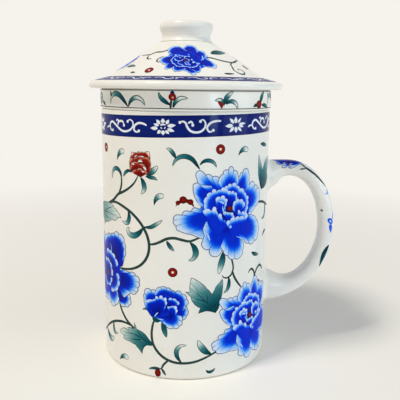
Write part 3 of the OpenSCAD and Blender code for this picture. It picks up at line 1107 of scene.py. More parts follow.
@dataclass(frozen=True)
class PeonySpray:
    """The spray that goes half round the mug: x runs round the wall from its middle, y is z."""

    vines: Strokes = (
        (((-41.5, 77.8), (-36, 79), (-30, 77.8), (-24, 75), (-19.5, 70.8), (-16.8, 66), (-16, 61.5),
            (-17, 57), (-20, 53), (-25, 50.2), (-31, 49), (-38, 48.6)), 1.35),
        (((-60, 72.5), (-52, 74), (-46, 76), (-41.5, 77.9), (-37, 80.2), (-33.5, 83), (-30.5, 84.3),
            (-26.5, 86.5), (-23.5, 89), (-21.2, 92.6)), 1.3),
        (((-33.2, 83.2), (-31.6, 86), (-31, 89), (-31.3, 91.8)), 1.15),
        (((-16, 62.7), (-14, 63), (-11, 64.2), (-8, 65.8), (-4.5, 66.3), (-1, 65.5), (2, 65), (4.5, 65.8),
            (8, 67.4)), 1.25),
        (((20.5, 57.5), (22.2, 54), (22.7, 50.8), (21.5, 48), (19.5, 47.1), (17.8, 47.5), (16.8, 48.8)),
            0.9),
        (((22.3, 49.8), (23.5, 46.8), (25.5, 43.8), (28, 41)), 1.1),
        (((38, 79.1), (44, 78.3), (48, 77), (54, 75), (59, 74)), 1.2),
        (((-34.2, 34), (-33, 30), (-31, 27), (-28.5, 24.5), (-25, 22.3), (-21, 19)), 1.3),
        (((-25.5, 22.8), (-30, 23.3), (-35, 22.5), (-40, 20.5), (-45, 17.5), (-50, 13.8), (-57, 10)), 1.2),
        (((-13.6, 28.5), (-14.7, 24.5), (-15, 20.5), (-14.3, 16.5), (-12.5, 13.5), (-9.5, 10.8), (-5.5, 9),
            (0, 8.4), (5, 9), (9.5, 10.5), (14, 12.4), (19, 14)), 1.25),
        (((-14.2, 16.4), (-16.5, 16.6), (-19, 16.8)), 1.1),
        (((-7.2, 9.4), (-9.2, 7.4), (-10.6, 4.6)), 1),
        (((36.6, 40.5), (38.2, 45), (40.5, 47.4), (43, 48), (45.5, 46.6), (47.3, 44.4)), 1.2),
        (((37.6, 43.8), (36.8, 46.8), (34.6, 48.2), (32.4, 46.6)), 1.1),
    )
    leaves: tuple[tuple[Line, float, float], ...] = (
        (((-18.6, 70.2), (-15.5, 70.4), (-12.5, 72), (-9.8, 74)), 1.6, 0.85),
        (((-27.2, 76.6), (-26.5, 73.5), (-27.6, 70.9), (-31.2, 71.2)), 2, 0.8),
        (((-18.8, 70), (-21, 67.2), (-24, 65.6), (-26.8, 66.3), (-27.4, 68.2), (-26, 68.8)), 2.5, 0.85),
        (((-31, 89.8), (-31.5, 92.4), (-33, 94), (-35.4, 94.4), (-37.6, 92.8), (-38.3, 89.5)), 1.7, 0.75),
        (((-8, 65), (-6.6, 62.6), (-4.6, 60.5)), 1.6, 0.6),
        (((2, 64.6), (3.9, 62.4), (4.7, 59.4), (3.6, 57.2), (1.5, 56.3)), 2.4, 0.7),
        (((6.1, 96), (4.6, 98.2), (2.5, 100.6), (0, 101.6), (-2.6, 101.2), (-4.5, 99.5), (-5.4, 97.4)),
            1.9, 0.5),
        (((-4, 100.6), (-5.4, 103), (-6.6, 104.3), (-8.1, 104.8)), 1.6, 0.8),
        (((6, 97.8), (7.6, 99.4), (10, 99.8), (12, 98.9), (13.4, 96.7)), 1.5, 0.6),
        (((17.4, 60), (17, 56), (16.2, 53), (15.2, 49.2)), 3, 0.85),
        (((20.3, 47.4), (20.6, 44.4), (19.9, 41.8), (17.8, 40.2)), 1.7, 0.6),
        (((-39.3, 20.8), (-39.6, 18), (-38.6, 15.8), (-35.8, 16.2)), 1.7, 0.7),
        (((-49, 14.3), (-46, 11.8), (-42.5, 11), (-39.2, 13.2)), 3, 0.9),
        (((-1.2, 8.8), (-3.2, 11.6), (-3.4, 14.6), (-1.8, 16.6), (1, 17)), 1.9, 0.9),
        (((12.4, 12), (9.6, 13.6), (7.6, 16), (6, 19.4)), 2.9, 0.9),
        (((47.2, 77.2), (48.6, 74), (47.4, 71), (43.6, 70.3)), 1.7, 0.6),
        (((-24.6, 93.6), (-26.6, 94.2), (-28.4, 93.2), (-29.8, 91.2)), 1.3, 0.5),
        (((-17.2, 93.2), (-15, 94.2), (-13.2, 95.8), (-11.8, 97.4)), 2.3, 0.95),
        (((-17.6, 92.6), (-15.4, 92.2), (-13.6, 92), (-12, 91.1)), 1.4, 0.6),
        (((-20, 92), (-18.6, 89.6), (-18.2, 87), (-19.9, 84.5)), 2.1, 0.85),
        (((-9.8, 28.6), (-9.2, 25), (-8, 20.4)), 2.3, 0.4),
        (((-13.6, 30), (-15.6, 32), (-17.4, 32.8), (-19.6, 32.2)), 1.1, 0.5),
        (((-10.4, 4.9), (-13, 5), (-14.8, 4.7), (-16.5, 4.1)), 1.1, 0.4),
        (((-10.4, 5.4), (-9.4, 3.8), (-8.3, 2)), 0.9, 0.4),
        (((34.4, 56.2), (37, 54.9), (41, 53.7)), 1.6, 0.5),
        (((39.8, 105.4), (43.5, 104.9), (47.4, 104.1)), 1.7, 0.4),
        (((45.4, 61.4), (48, 63), (52, 63.2)), 1.3, 0.5),
        (((10, 4.6), (11, 3.4), (12.8, 3.5), (14.4, 4.8)), 1.2, 0.5),
        (((43.8, 40.3), (41, 40.8), (39.5, 42)), 1, 0.5),
    )
    commas: tuple[Line, ...] = (
        ((-33.9, 98.2), (-33, 100.4), (-31.4, 102), (-28.8, 102.4)),
        ((-13.5, 80.2), (-13, 82.4), (-11.6, 84.1), (-9, 84.5)),
        ((24.2, 101.3), (25.6, 103.1), (27.4, 103.9), (30, 103.2)),
        ((-34.4, 3.4), (-33, 5.1), (-31, 6.3), (-28, 6)),
    )
    blades: tuple[tuple[Pair, Pair, Line, tuple[Line, ...], float], ...] = (
        ((13.5, 34), (14.4, 31.4), ((14, 31.4), (10.4, 32.7, -0.05), (6.2, 31.6, -0.1), (7.2, 34.6, 0.05),
            (4.2, 36.8, 0.12), (3, 39.2, 0.12), (0.1, 42.1, -0.05), (2.5, 42.2, -0.1), (2.4, 45.4, 0.1),
            (2.8, 48.4, 0.05), (7.2, 45.6, 0.06), (9.6, 43, 0.1), (12, 40.2, 0.1), (13.6, 42.8, -0.05),
            (15.4, 45, 0.08), (16.9, 46.8, 0.02), (17.1, 42.4, 0.06), (16.4, 37.8, 0.06), (15.2, 33, 0.04),
            (14, 31.4, 0)), (((14, 32.3), (11.3, 35.3), (8.7, 38), (6, 41.3), (4, 45)), ((14.3, 33),
            (15, 36), (15.4, 39.3), (16, 43)), ((9.4, 37.2), (7, 38.2), (4.4, 38.6)), ((10.2, 36.4),
            (10.2, 38.4), (9.6, 40.6)), ((12.4, 34.2), (9.4, 35), (7.6, 35))), 1),
        ((-21, 18), (-14.6, 15.6), ((-14.6, 15.7), (-16.6, 18.4, 0.1), (-19.4, 21, 0.08),
            (-22.6, 21.8, 0.05), (-24, 24.9, -0.06), (-24.8, 21.6, -0.06), (-28.4, 21.2, 0.1),
            (-27.6, 20, -0.1), (-31.4, 20.2, 0.12), (-33.8, 18.2, 0.06), (-30.4, 16.8, 0.1),
            (-31.4, 15.6, -0.05), (-27.4, 15.2, 0.1), (-23.8, 14.4, 0.06), (-21.6, 12.6, 0.05),
            (-20, 10.7, 0.02), (-19.2, 13.6, -0.06), (-17.2, 15.4, -0.1), (-14.6, 15.7, 0.05)), (((-15, 16),
            (-18.4, 17.6), (-22, 18.8), (-27, 19), (-32, 18.2)), ((-18, 17), (-21, 19.6), (-23.4, 23)),
            ((-17, 16), (-19, 14.4), (-20, 12.4)), ((-20, 17.6), (-24, 16.6), (-27.6, 16.2))), 0.85),
        ((-52, 72.2), (-60, 72), ((-56, 75), (-50, 76.6, 0.06), (-44, 77.4, 0.05), (-38.4, 77.2, 0.08),
            (-37, 76, 0.05), (-34.6, 75, 0.1), (-31.8, 72.5, 0.06), (-34.6, 72, -0.06), (-37.4, 70.4, 0.12),
            (-38.6, 71.2, -0.1), (-42, 69.6, 0.1), (-46, 68.2, 0.1), (-50.4, 65.8, -0.05),
            (-52, 68.6, -0.05), (-57, 69, 0.1), (-60, 72.2, 0.1), (-56, 75, 0.1)), (((-57, 72.4),
            (-50, 72.4), (-42, 73), (-34, 72.6)), ((-48, 72.6), (-43, 75), (-39, 76)), ((-50, 72),
            (-46, 70.4), (-41, 70.6))), 0.62),
        ((43.6, 88), (43, 84), ((42.4, 84.4), (40.2, 87.8, 0.1), (38.6, 92, 0.08), (38.2, 96.4, 0.05),
            (38.3, 100.4, 0.02), (40.6, 96.8, 0.05), (42.4, 93.2, 0.06), (44.6, 95.4, -0.05),
            (49, 98, 0.06), (54, 98.4, 0.04), (52.4, 94.4, 0.08), (50.6, 91, -0.05), (53, 88.8, 0.06),
            (49.4, 86.2, 0.1), (45, 84.8, 0.08), (42.4, 84.4, 0)), (((43, 84.8), (41.2, 89.6), (39.8, 94),
            (38.8, 98)), ((43.4, 85), (46, 90), (50, 94.4), (53, 97)), ((44, 85.4), (48, 87.2),
            (51.4, 88.4))), 1),
    )
    berries: tuple[Pair, ...] = ((15.1, 104.4), (-44.8, 102.8), (-5.3, 50.9))

    def paint(self, brush: Painter) -> None:
        """Paints the whole spray, stems first and the big flowers last.

        Args:
            brush: a painter on the mug's wall.
        """
        brush.each(0, brush.vine, self.vines)
        brush.each(2, brush.blade, self.blades)
        brush.each(2, brush.curl, self.leaves)
        brush.each(2, brush.comma, self.commas)
        brush.each(2, brush.berry, self.berries)
        self.paint_crown(brush)
        brush.disc(Colour.RED, (-12.1, 2.9), 1.45, 1.35, shade=lambda r: 0.5 + 0.4 * r)
        brush.disc(Colour.LEAF, (-12.6, 28.8), 2.0, 0.85, shade=0.85)
        paint_rosebud(brush.at(-20.5, 97.3, layer=6))
        PEONY.paint(brush.at(20.0, 78.5, layer=8))
        PEONY.paint(brush.at(34.5, 26.0, turn=17, scale=0.96, layer=8))
        OPEN_PEONY.paint(brush.at(-43.5, 44.0, layer=8), full=0.86)
        HALF_PEONY.paint(brush.at(-9.0, 35.0, layer=8), 0.75, 0.80)

    def paint_crown(self, brush: Painter) -> None:
        """The small red crown: a crescent with three lobes on its upper side.

        Args:
            brush: a painter on the mug's wall.
        """
        brush.layer = 2
        brush.stroke(Colour.RED, ((-4.1, 80.2), (-2.4, 82.1), (-0.2, 82.8), (2.2, 82), (3.9, 79.7)), 1.7,
                     Taper.CRESCENT, lambda t, q: 0.7 + 0.3 * abs(q) + 0 * t)
        for x, y, radius in ((-3.1, 81.8, 1.0), (-0.9, 83.1, 1.6), (2.2, 82.2, 1.25)):
            brush.disc(Colour.RED, (x, y), radius, shade=lambda r: 0.55 + 0.4 * r)


@dataclass(frozen=True)
class ScrollBand:
    """The blue band under the rim, with white daisies, lotuses and double scrolls left in it.

    The strip was laid a touch askew: both its edges rise and fall by a sine of the angle round.
    """

    radius: float
    low: float = 109.4
    high: float = 118.5
    tilt_low: float = 1.05
    tilt_high: float = 0.75
    lotuses: tuple[float, ...] = (-9.5, 102.3)
    daisies: tuple[float, ...] = (22.3, 62.3, 132.05, 161.8, 201.8)
    long_scrolls: tuple[float, ...] = (-29.5, 42.3, 82.3, 181.8)
    short_scrolls: tuple[float, ...] = (6.5, 117.2, 147.0)
    scroll: Strokes = (
        (((-13, -1.2), (-11.4, -0.6), (-10, -0.4)), 0.75),
        (((-7.4, -2.3), (-8.8, -2.1), (-9.9, -0.9), (-9.8, 0.6), (-8.2, 1.6), (-5.2, 0.4), (-3, -1),
            (-0.4, -2.2), (2.4, -2.2), (4.6, -1.3), (5.9, 0.4), (5.6, 2), (4.2, 2.7), (2.8, 2)), 0.95),
        (((-4.8, 1.9), (-3.6, 2.5), (-2.6, 1.9)), 0.75),
        (((-3.3, 0.1), (-3.1, 1.5), (-1.6, 2), (-0.2, 1.8), (0.7, 0.1)), 0.95),
        (((12.8, 0.4), (10.6, 1.3), (8.2, 1.2), (6.6, 0), (6.4, -1.6), (7.8, -2.4), (9, -1.8)), 0.95),
    )
    short: Strokes = (
        (((-9, 1.6), (-7.6, 2.1), (-6.5, 1.4), (-6, 0), (-4.6, -1.8), (-2.4, -2.5), (0.2, -1.9),
            (1.6, -0.2), (1.7, 1.5), (0.6, 2.7), (-0.6, 2.1)), 0.95),
        (((-5.6, 1.2), (-4.2, 1.9), (-3.5, 0.6)), 0.9),
        (((8.8, 1.9), (6, 1.9), (3.6, 1), (2.4, -0.8), (3.4, -2.4), (5.4, -1.6)), 0.95),
    )
    scroll_knobs: Line = ((-7.5, -2.1), (2.9, 1.9), (0.6, 0.2), (8.8, -1.9))
    short_knobs: Line = ((-8.9, 1.7), (-3.6, 0.5), (-0.4, 2.0), (5.1, -1.8))
    daisy: Strokes = (
        (((0, 0.7), (0, 3.4)), 1.8),
        (((-0.9, 0.7), (-3.1, 2.9)), 1.5),
        (((-1.4, -0.2), (-5.3, -0.3)), 1.7),
        (((-0.9, -0.8), (-3.2, -2.9)), 1.5),
        (((0.1, -0.7), (0.1, -3.3)), 1.8),
        (((1, -0.9), (3.3, -2.8)), 1.3),
        (((1.6, -0.3), (4.4, -0.9)), 1.1),
        (((1.6, 0.3), (5.5, 0.5)), 1.2),
        (((1, 0.8), (2.9, 2.9)), 1.1),
    )
    lotus: Strokes = (
        (((-2.3, -0.7), (-5.6, -0.6)), 1.6),
        (((-1.8, 0.4), (-4.1, 1.2)), 1.3),
        (((-1.3, 1), (-2.8, 2.9)), 1.5),
        (((0, 1.4), (0, 3.4)), 1.9),
        (((1.3, 1), (2.6, 2.9)), 1.5),
        (((1.8, 0.2), (5.4, 0.6)), 1.6),
        (((1.8, -0.9), (4.8, -2)), 1.5),
        (((1, -1.5), (2.5, -3)), 1.4),
        (((0, -1.5), (-0.1, -3.5)), 1.9),
        (((-1.1, -1.5), (-2.6, -2.9)), 1.5),
        (((-1.4, 0.6), (0, 0.9), (1.4, 0.6)), 0.8),
        (((-1.1, -0.1), (-0.4, -1)), 0.5),
        (((1.1, -0.1), (0.4, -1)), 0.5),
    )

    def paint(self, brush: Painter) -> None:
        """Paints the strip, then the white ornament on it.

        Args:
            brush: a painter on the mug's wall.
        """
        x = np.linspace(-np.pi, np.pi, 721) * self.radius
        swing = np.sin(x / self.radius)
        low, high = self.low + self.tilt_low * swing, self.high + self.tilt_high * swing
        share = np.linspace(0, 1, 8)
        y = low[:, None] + (high - low)[:, None] * share
        brush.layer = 0
        edge = np.abs(2 * share - 1) ** 6
        brush.lay(Colour.NAVY, np.stack([x[:, None] + 0 * y, y], axis=-1), 0.75 + 0.2 * edge + 0 * y)
        for places, strokes, knobs, taper in (
            (self.long_scrolls, self.scroll, self.scroll_knobs, Taper.VINE),
            (self.short_scrolls, self.short, self.short_knobs, Taper.VINE),
            (self.daisies, self.daisy, (), Taper.LEAF),
            (self.lotuses, self.lotus, (), Taper.LEAF),
        ):
            for place in places:
                spot = self.spot(brush, place)
                spot.each(2, spot.white, [(points, width, taper) for points, width in strokes])
                for knob in knobs:
                    spot.layer = 4
                    spot.disc(Colour.RESERVE, knob, 0.62, shade=lambda r: 0.5 * r**3)

    def spot(self, brush: Painter, x: float) -> Painter:
        """A painter at the middle of the strip.

        Args:
            brush: a painter on the mug's wall.
            x: the place round the wall.

        Returns:
            The painter, turned with the strip.
        """
        swing = np.sin(x / self.radius)
        y = (self.low + self.high + (self.tilt_low + self.tilt_high) * swing) / 2
        return brush.at(x, y, turn=np.degrees(np.cos(x / self.radius) * 0.9 / self.radius), layer=2)


# ---- the sub-assemblies

@dataclass
class Mug:
    """The mug's body: a straight cup on a foot ring, painted all round."""

    radius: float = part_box("mug_body")[1].x / MM
    height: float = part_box("mug_body")[1].z / MM
    wall: float = 3.6
    floor_z: float = 7.0
    fillet: float = 8.0
    rim_round: float = 1.1
    base_round: float = 1.6
    ring_width: float = 5.0
    recess: float = 2.0
    segments: int = 480

    def profile(self) -> np.ndarray:
        """The section, from the inside of the floor over the rim to the middle of the recess.

        Returns:
            An array of (n, 2).
        """
        inner, ring_in = self.radius - self.wall, self.radius - self.base_round - self.ring_width
        rim, base = self.rim_round, self.base_round
        top = self.height - rim
        return np.vstack([
            [[0, self.floor_z], [inner * 0.4, self.floor_z]],
            arc((inner - self.fillet, self.floor_z + self.fillet), self.fillet, -90, 0, 16),
            upright(inner, self.floor_z + self.fillet, top, 24),
            arc((inner + rim, top), rim, 180, 90, 10),
            arc((self.radius - rim, top), rim, 90, 0, 10),
            upright(self.radius, top, base, 40),
            arc((self.radius - base, base), base, 0, -90, 10),
            arc((ring_in + 0.5, 0.5), 0.5, -90, -180, 5),
            arc((ring_in - 1.0, self.recess - 0.6), 0.6, 0, 90, 5),
            [[ring_in * 0.5, self.recess], [0, self.recess]],
        ])

    def build(self, finishes: "Finishes") -> None:
        """Turns the body and paints the band and the two sprays on it.

        Args:
            finishes: the mug's materials.
        """
        add_piece("mug_porcelain", lathe(self.profile(), self.segments), finishes.footed, "mug",
                  ("mug_body",))
        for name, turn, painting in (
            ("band", 0, ScrollBand(self.radius)), ("front", 0, PeonySpray()), ("back", 180, PeonySpray()),
        ):
            brush = Painter(WallSheet(self.radius, turn), name, "mug")
            painting.paint(brush)
            brush.build(finishes.enamels)


@dataclass
class Handle:
    """The ear handle: a superellipse section carried along two cubic Bezier curves.

    Near the mug the section swells, and a fillet brings it flush with the wall all round.
    """

    wall_radius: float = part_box("mug_body")[1].x / MM
    reach: float = 34.0
    top_z: float = 87.0
    mid_z: float = 61.5
    low_z: float = 33.0
    lift: float = 12.5
    sag: float = 7.5
    thickness: float = 7.4
    width: float = 11.0
    squareness: float = 2.5
    upper_flare: Pair = (5.6, 7.5)     # extra thickness at the root, and its length
    lower_flare: Pair = (7.4, 14.0)
    flare_width: float = 4.0
    fillet: float = 2.4
    root_inset: float = 2.16
    upper_search: Pair = (-0.14, 0.6)  # places on the spine inside the wall and outside it
    lower_search: Pair = (2.14, 1.4)
    rings: int = 90                    # in each half
    crowding: float = 0.9676           # how much closer the rings are at the roots
    sides: int = 72

    def spine(self, t: np.ndarray) -> tuple[np.ndarray, np.ndarray]:
        """The centre line in the XZ plane: t from 0 to 1 down the upper curve, to 2 down the lower.

        Args:
            t: places on the line.

        Returns:
            Points and unit directions, each (..., 2).
        """
        x = self.wall_radius + self.reach - self.thickness / 2
        root = self.wall_radius - self.root_inset
        upper = np.array([[root, self.top_z], [self.wall_radius + 14, self.top_z + self.lift],
                          [x, self.mid_z + 25], [x, self.mid_z]])
        lower = np.array([[x, self.mid_z], [x, self.mid_z - 16],
                          [self.wall_radius + 17.5, self.low_z - self.sag], [root, self.low_z]])
        first = (t < 1)[..., None]
        u = np.where(t < 1, t, t - 1)[..., None]
        p = [np.where(first, a, b) for a, b in zip(upper, lower)]
        point = (1 - u)**3 * p[0] + 3 * u * (1 - u)**2 * p[1] + 3 * u**2 * (1 - u) * p[2] + u**3 * p[3]
        way = (1 - u)**2 * (p[1] - p[0]) + 2 * u * (1 - u) * (p[2] - p[1]) + u**2 * (p[3] - p[2])
        return point, way / np.linalg.norm(way, axis=-1, keepdims=True)

    def skin(self, t: np.ndarray, angle: np.ndarray) -> tuple[np.ndarray, np.ndarray]:
        """The surface before its fillets: angle 0 is the outer face and 90 degrees the -Y side.

        Args:
            t: places on the spine.
            angle: angles round the section, in radians.

        Returns:
            Points and the directions from the spine to them, each (..., 3).
        """
        point, way = self.spine(t)
        share, length = (np.where(t < 1, a, b) for a, b in zip(self.upper_flare, self.lower_flare))
        swell = np.exp(-2 * (np.maximum(point[..., 0] - self.wall_radius, 0) / length) ** 2)
        power = 2 / self.squareness
        cos, sin = np.cos(angle), np.sin(angle)
        u = (self.thickness + swell * share) / 2 * np.sign(cos) * np.abs(cos) ** power
        v = (self.width + swell * self.flare_width) / 2 * np.sign(sin) * np.abs(sin) ** power
        out = np.stack([-way[..., 1] * u, -v, way[..., 0] * u], axis=-1)
        centre = np.stack([point[..., 0], 0 * u, point[..., 1]], axis=-1)
        return centre + out, out / np.linalg.norm(out, axis=-1, keepdims=True)

    def wall_gap(self, points: np.ndarray) -> np.ndarray:
        """Distance of points from the mug's wall."""
        return np.hypot(points[..., 0], points[..., 1]) - self.wall_radius

    def root(self, angle: np.ndarray, inside: float, outside: float) -> np.ndarray:
        """Where each lengthwise line of the surface meets the wall, found by halving.

        Args:
            angle: the lines' angles round the section.
            inside: a place on the spine inside the wall.
            outside: one outside it.

        Returns:
            The places on the spine.
        """
        low, high = np.full_like(angle, inside), np.full_like(angle, outside)
        for _ in range(30):
            middle = (low + high) / 2
            within = self.wall_gap(self.skin(middle, angle)[0]) < 0
            low, high = np.where(within, middle, low), np.where(within, high, middle)
        return (low + high) / 2

    def surface(self, share: np.ndarray, angle: np.ndarray) -> np.ndarray:
        """The finished surface: share 0 is the upper root and 1 the lower.

        Within the fillet's reach of the wall a point moves out by a quarter circle, r less the
        root of r squared less (r - gap) squared, along the wall.

        Args:
            share: places along the handle.
            angle: angles round the section.

        Returns:
            Points, (..., 3).
        """
        start, end = self.root(angle, *self.upper_search), self.root(angle, *self.lower_search)
        t = start + (end - start) * share
        points, out = self.skin(t, angle)
        gap = np.clip(self.wall_gap(points), 0, None)
        radial = points * [1, 1, 0]
        radial /= np.linalg.norm(radial, axis=-1, keepdims=True)
        along = out - (out * radial).sum(-1, keepdims=True) * radial
        along /= np.linalg.norm(along, axis=-1, keepdims=True)
        r = self.fillet
        inner = np.clip(r - gap, 0, r)
        points = points + along * (r - np.sqrt(r**2 - inner**2))[..., None]
        flat = np.hypot(points[..., 0], points[..., 1])
        scale = (self.wall_radius + gap - 0.02) / flat
        return points * np.stack([scale, scale, 1 + 0 * scale], axis=-1)

    def shares(self) -> np.ndarray:
        """Places of the rings, closer together at the two roots."""
        u = np.linspace(0, 1, self.rings * 2 + 1)
        return u - self.crowding * np.sin(2 * np.pi * u) / (2 * np.pi)

    def build(self, finishes: "Finishes") -> None:
        """Makes the handle and paints its outer face.

        Args:
            finishes: the mug's materials.
        """
        angle = np.linspace(0, 2 * np.pi, self.sides, endpoint=False)
        share = self.shares()
        grid = self.surface(*np.broadcast_arrays(share[:, None], angle[None, :]))
        rings = Mesh(grid.reshape(-1, 3), grid_faces(len(share), self.sides, closed=True).tolist())
        mesh = capped(rings, self.sides, [grid[k].mean(axis=0) - [1.5, 0, 0] for k in (0, -1)])
        add_piece("handle_porcelain", mesh, finishes.glaze, "mug", ("mug_handle",))
        self.paint(finishes)

    def paint(self, finishes: "Finishes") -> None:
        """A flower over the top, its stem, a spot and a leaf down the outer face, and a pit.

        Args:
            finishes: the mug's materials.
        """
        brush = Painter(HandleSheet(self), "handle", "mug")
        brush.each(0, brush.vine, (
            (((20.6, -5), (25, -5.1), (29.1, -4.8), (32.4, -4.4), (35.8, -2.7)), 1.35),
            (((19.4, -6.9), (20.4, -6.4), (21.6, -5.6)), 0.9),
            (((17.3, -3.2), (19, -4.1), (21.4, -5.2)), 0.9),
        ))
        brush.petal((11, -1.5), ((4.1, -1), (5.1, 2.4, 0.2), (8.7, 4.4, 0.35), (12.5, 4.9, 0.5),
                                 (16.7, 4.2, 0.5), (17.5, 0.6, 0.2)), 0.1, 1.2, full=0.86)
        brush.petal((11, 1.5), ((3.4, 1), (5.6, -2.6, 0.15), (8.9, -4.4, 0.4), (12.6, -5.2, 0.55),
                                (16.6, -4.9, 0.55), (17.6, -1.2, 0.2), (16.9, 1.5, 0.1)), 0.0, 1.0, full=0.86)
        brush.disc(Colour.COBALT, (10.6, 0.0), 5.2, 0.6, shade=lambda r: 1.0 - 0.25 * r**3)
        brush.stroke(Colour.COBALT, ((36.4, -2.8), (37.9, -4.0), (39.2, -5.8), (38.8, -6.6)), 0.9,
                     Taper.CRESCENT, 0.35)
        brush.disc(Colour.COBALT, (53.6, -6.2), 1.5, inner=0.3, shade=lambda r: 0.30 + 0.35 * r)
        brush.stroke(Colour.COBALT, ((48.2, -3.0), (50.6, -4.2), (52.8, -5.2)), 0.7, Taper.CRESCENT, 0.5)
        brush.stroke(Colour.COBALT, ((54.8, -6.0), (57.0, -6.1), (59.4, -5.8)), 1.7, Taper.LEAF,
                     lambda t, q: 0.45 + 0.3 * q**2 + 0 * t)
        brush.leaf(((65.6, -5.6), (70.8, -6.5), (78, -5.4)), 2.0, 0.15)
        brush.leaf(((60, 4.4), (65, 5.6), (71, 4.8)), 2.5, 0.5)
        brush.disc(Colour.STEM, (49.2, -10.1), 0.55, shade=0.95)
        brush.build(finishes.enamels)


@dataclass
class HandleSheet(Sheet):
    """The handle's outer face: x runs down its length from the upper root, y towards +Y."""

    handle: Handle

    def place(self, flat: np.ndarray, lift: float) -> tuple[np.ndarray, np.ndarray]:
        """x and y as lengths along the outer face and round the section, and the normal.

        The share and the angle are read off the two running lengths. The normal is the cross
        product of the two small differences of the surface.

        Args:
            flat, lift: as for every sheet.

        Returns:
            The points and the surface's normals.
        """
        handle = self.handle
        share = np.linspace(0, 1, 401)
        spine = handle.surface(share, 0 * share)
        run = running_length(spine)
        around = np.linspace(0, np.pi, 181)
        section, _ = handle.skin(0 * around + 1.0, around)
        girth = running_length(section)
        down = np.interp(flat[:, 0], run, share)
        angle = -np.sign(flat[:, 1]) * np.interp(np.abs(flat[:, 1]), girth, around)
        here = handle.surface(down, angle)
        lengthwise = handle.surface(down + 1e-4, angle) - here
        sidewise = handle.surface(down, angle - 1e-3) - here
        normal = np.cross(lengthwise, sidewise)
        normal /= np.linalg.norm(normal, axis=1)[:, None]
        return here + normal * lift, normal


SPRIGS = (        # the marks of the collar's sprigs, each a method with its values
    (             # two arching leaves from one foot, the longer one forked at its end
        (Painter.curl, ((0.8, 121.4), (-1.8, 124.2), (-5, 126.5), (-8.4, 126.7), (-10.8, 124.9),
                        (-11.3, 122.3)), 2.1),
        (Painter.curl, ((1, 121.4), (2.2, 123.9), (5, 125.4), (7.8, 124.6), (9.5, 122.2)), 1.7, 1.7, 0.34),
        (Painter.leaf, ((-10.4, 125.6), (-11, 127), (-11.2, 128.2)), 1.2, 0.9),
    ),
    (             # a short stem with a red bud between two curled leaves
        (Painter.vine, ((-0.4, 121.1), (-0.3, 123.3), (0.2, 125.2)), 1.0),
        (Painter.curl, ((-0.4, 122.6), (-2.6, 123.9), (-4.6, 125.6), (-5.6, 127.8)), 1.6, 0.5),
        (Painter.curl, ((0.6, 121.4), (1.6, 123.9), (3.6, 125.4), (6.8, 125.3)), 1.6, 1.7, 0.34),
        (Painter.disc, Colour.NAVY, (0.3, 127.4), 0.9, 1.1, 0, 0.8),
        (Painter.disc, Colour.RED, (0.3, 125.9), 1.6, 0.95, 0, lambda r: 0.40 + 0.5 * r**2),
        (Painter.disc, Colour.RED, (0.5, 125.6), 0.45, 1, 0, 0.1),
    ),
    (             # a red petal under a hood, with an upright leaf and an arching one
        (Painter.curl, ((1.2, 122.4), (-0.2, 124.7), (-3.2, 124.5)), 1.4, 1.5, 0.34),
        (Painter.stroke, Colour.RED, ((-0.2, 121.2), (-0.1, 122.7), (-1.9, 124)), 1.8, Taper.CRESCENT, 0.6),
        (Painter.leaf, ((1.2, 123), (2.3, 125.8), (5.6, 128.3)), 2.1, 0.95),
        (Painter.curl, ((1.8, 123), (4.6, 124.3), (6.8, 123.4), (7.8, 121)), 1.6, 1.2, 0.34),
    ),
    (             # a fat red bud lying on its side, with a dark tip, an upright leaf and a low one
        (Painter.leaf, ((1.6, 123.4), (3, 126.4), (5.2, 128.3)), 2.3, 0.6),
        (Painter.leaf, ((3, 122.6), (6.2, 122.4), (10.4, 121.3)), 1.5, 0.4),
        (Painter.disc, Colour.RED, (0.6, 122.9), 2.2, 0.78, 0, lambda r: 0.45 + 0.55 * r**2),
        (Painter.leaf, ((-0.6, 122.6), (-2.2, 122.5), (-3.8, 121.8)), 1.3, 0.1),
    ),
)
RING_SPRIG = (    # a round bud seen from its end: a ring about a spot
    (Painter.disc, Colour.LEAF, (-2.6, 124.8), 3.0, 0.9, 0.55, 0.45),
    (Painter.disc, Colour.LEAF, (-2.6, 124.8), 0.9, 1, 0, 0.6),
    (Painter.leaf, ((0.6, 123.4), (2.6, 122.6), (4.6, 121.6)), 1.2, 0.3),
)


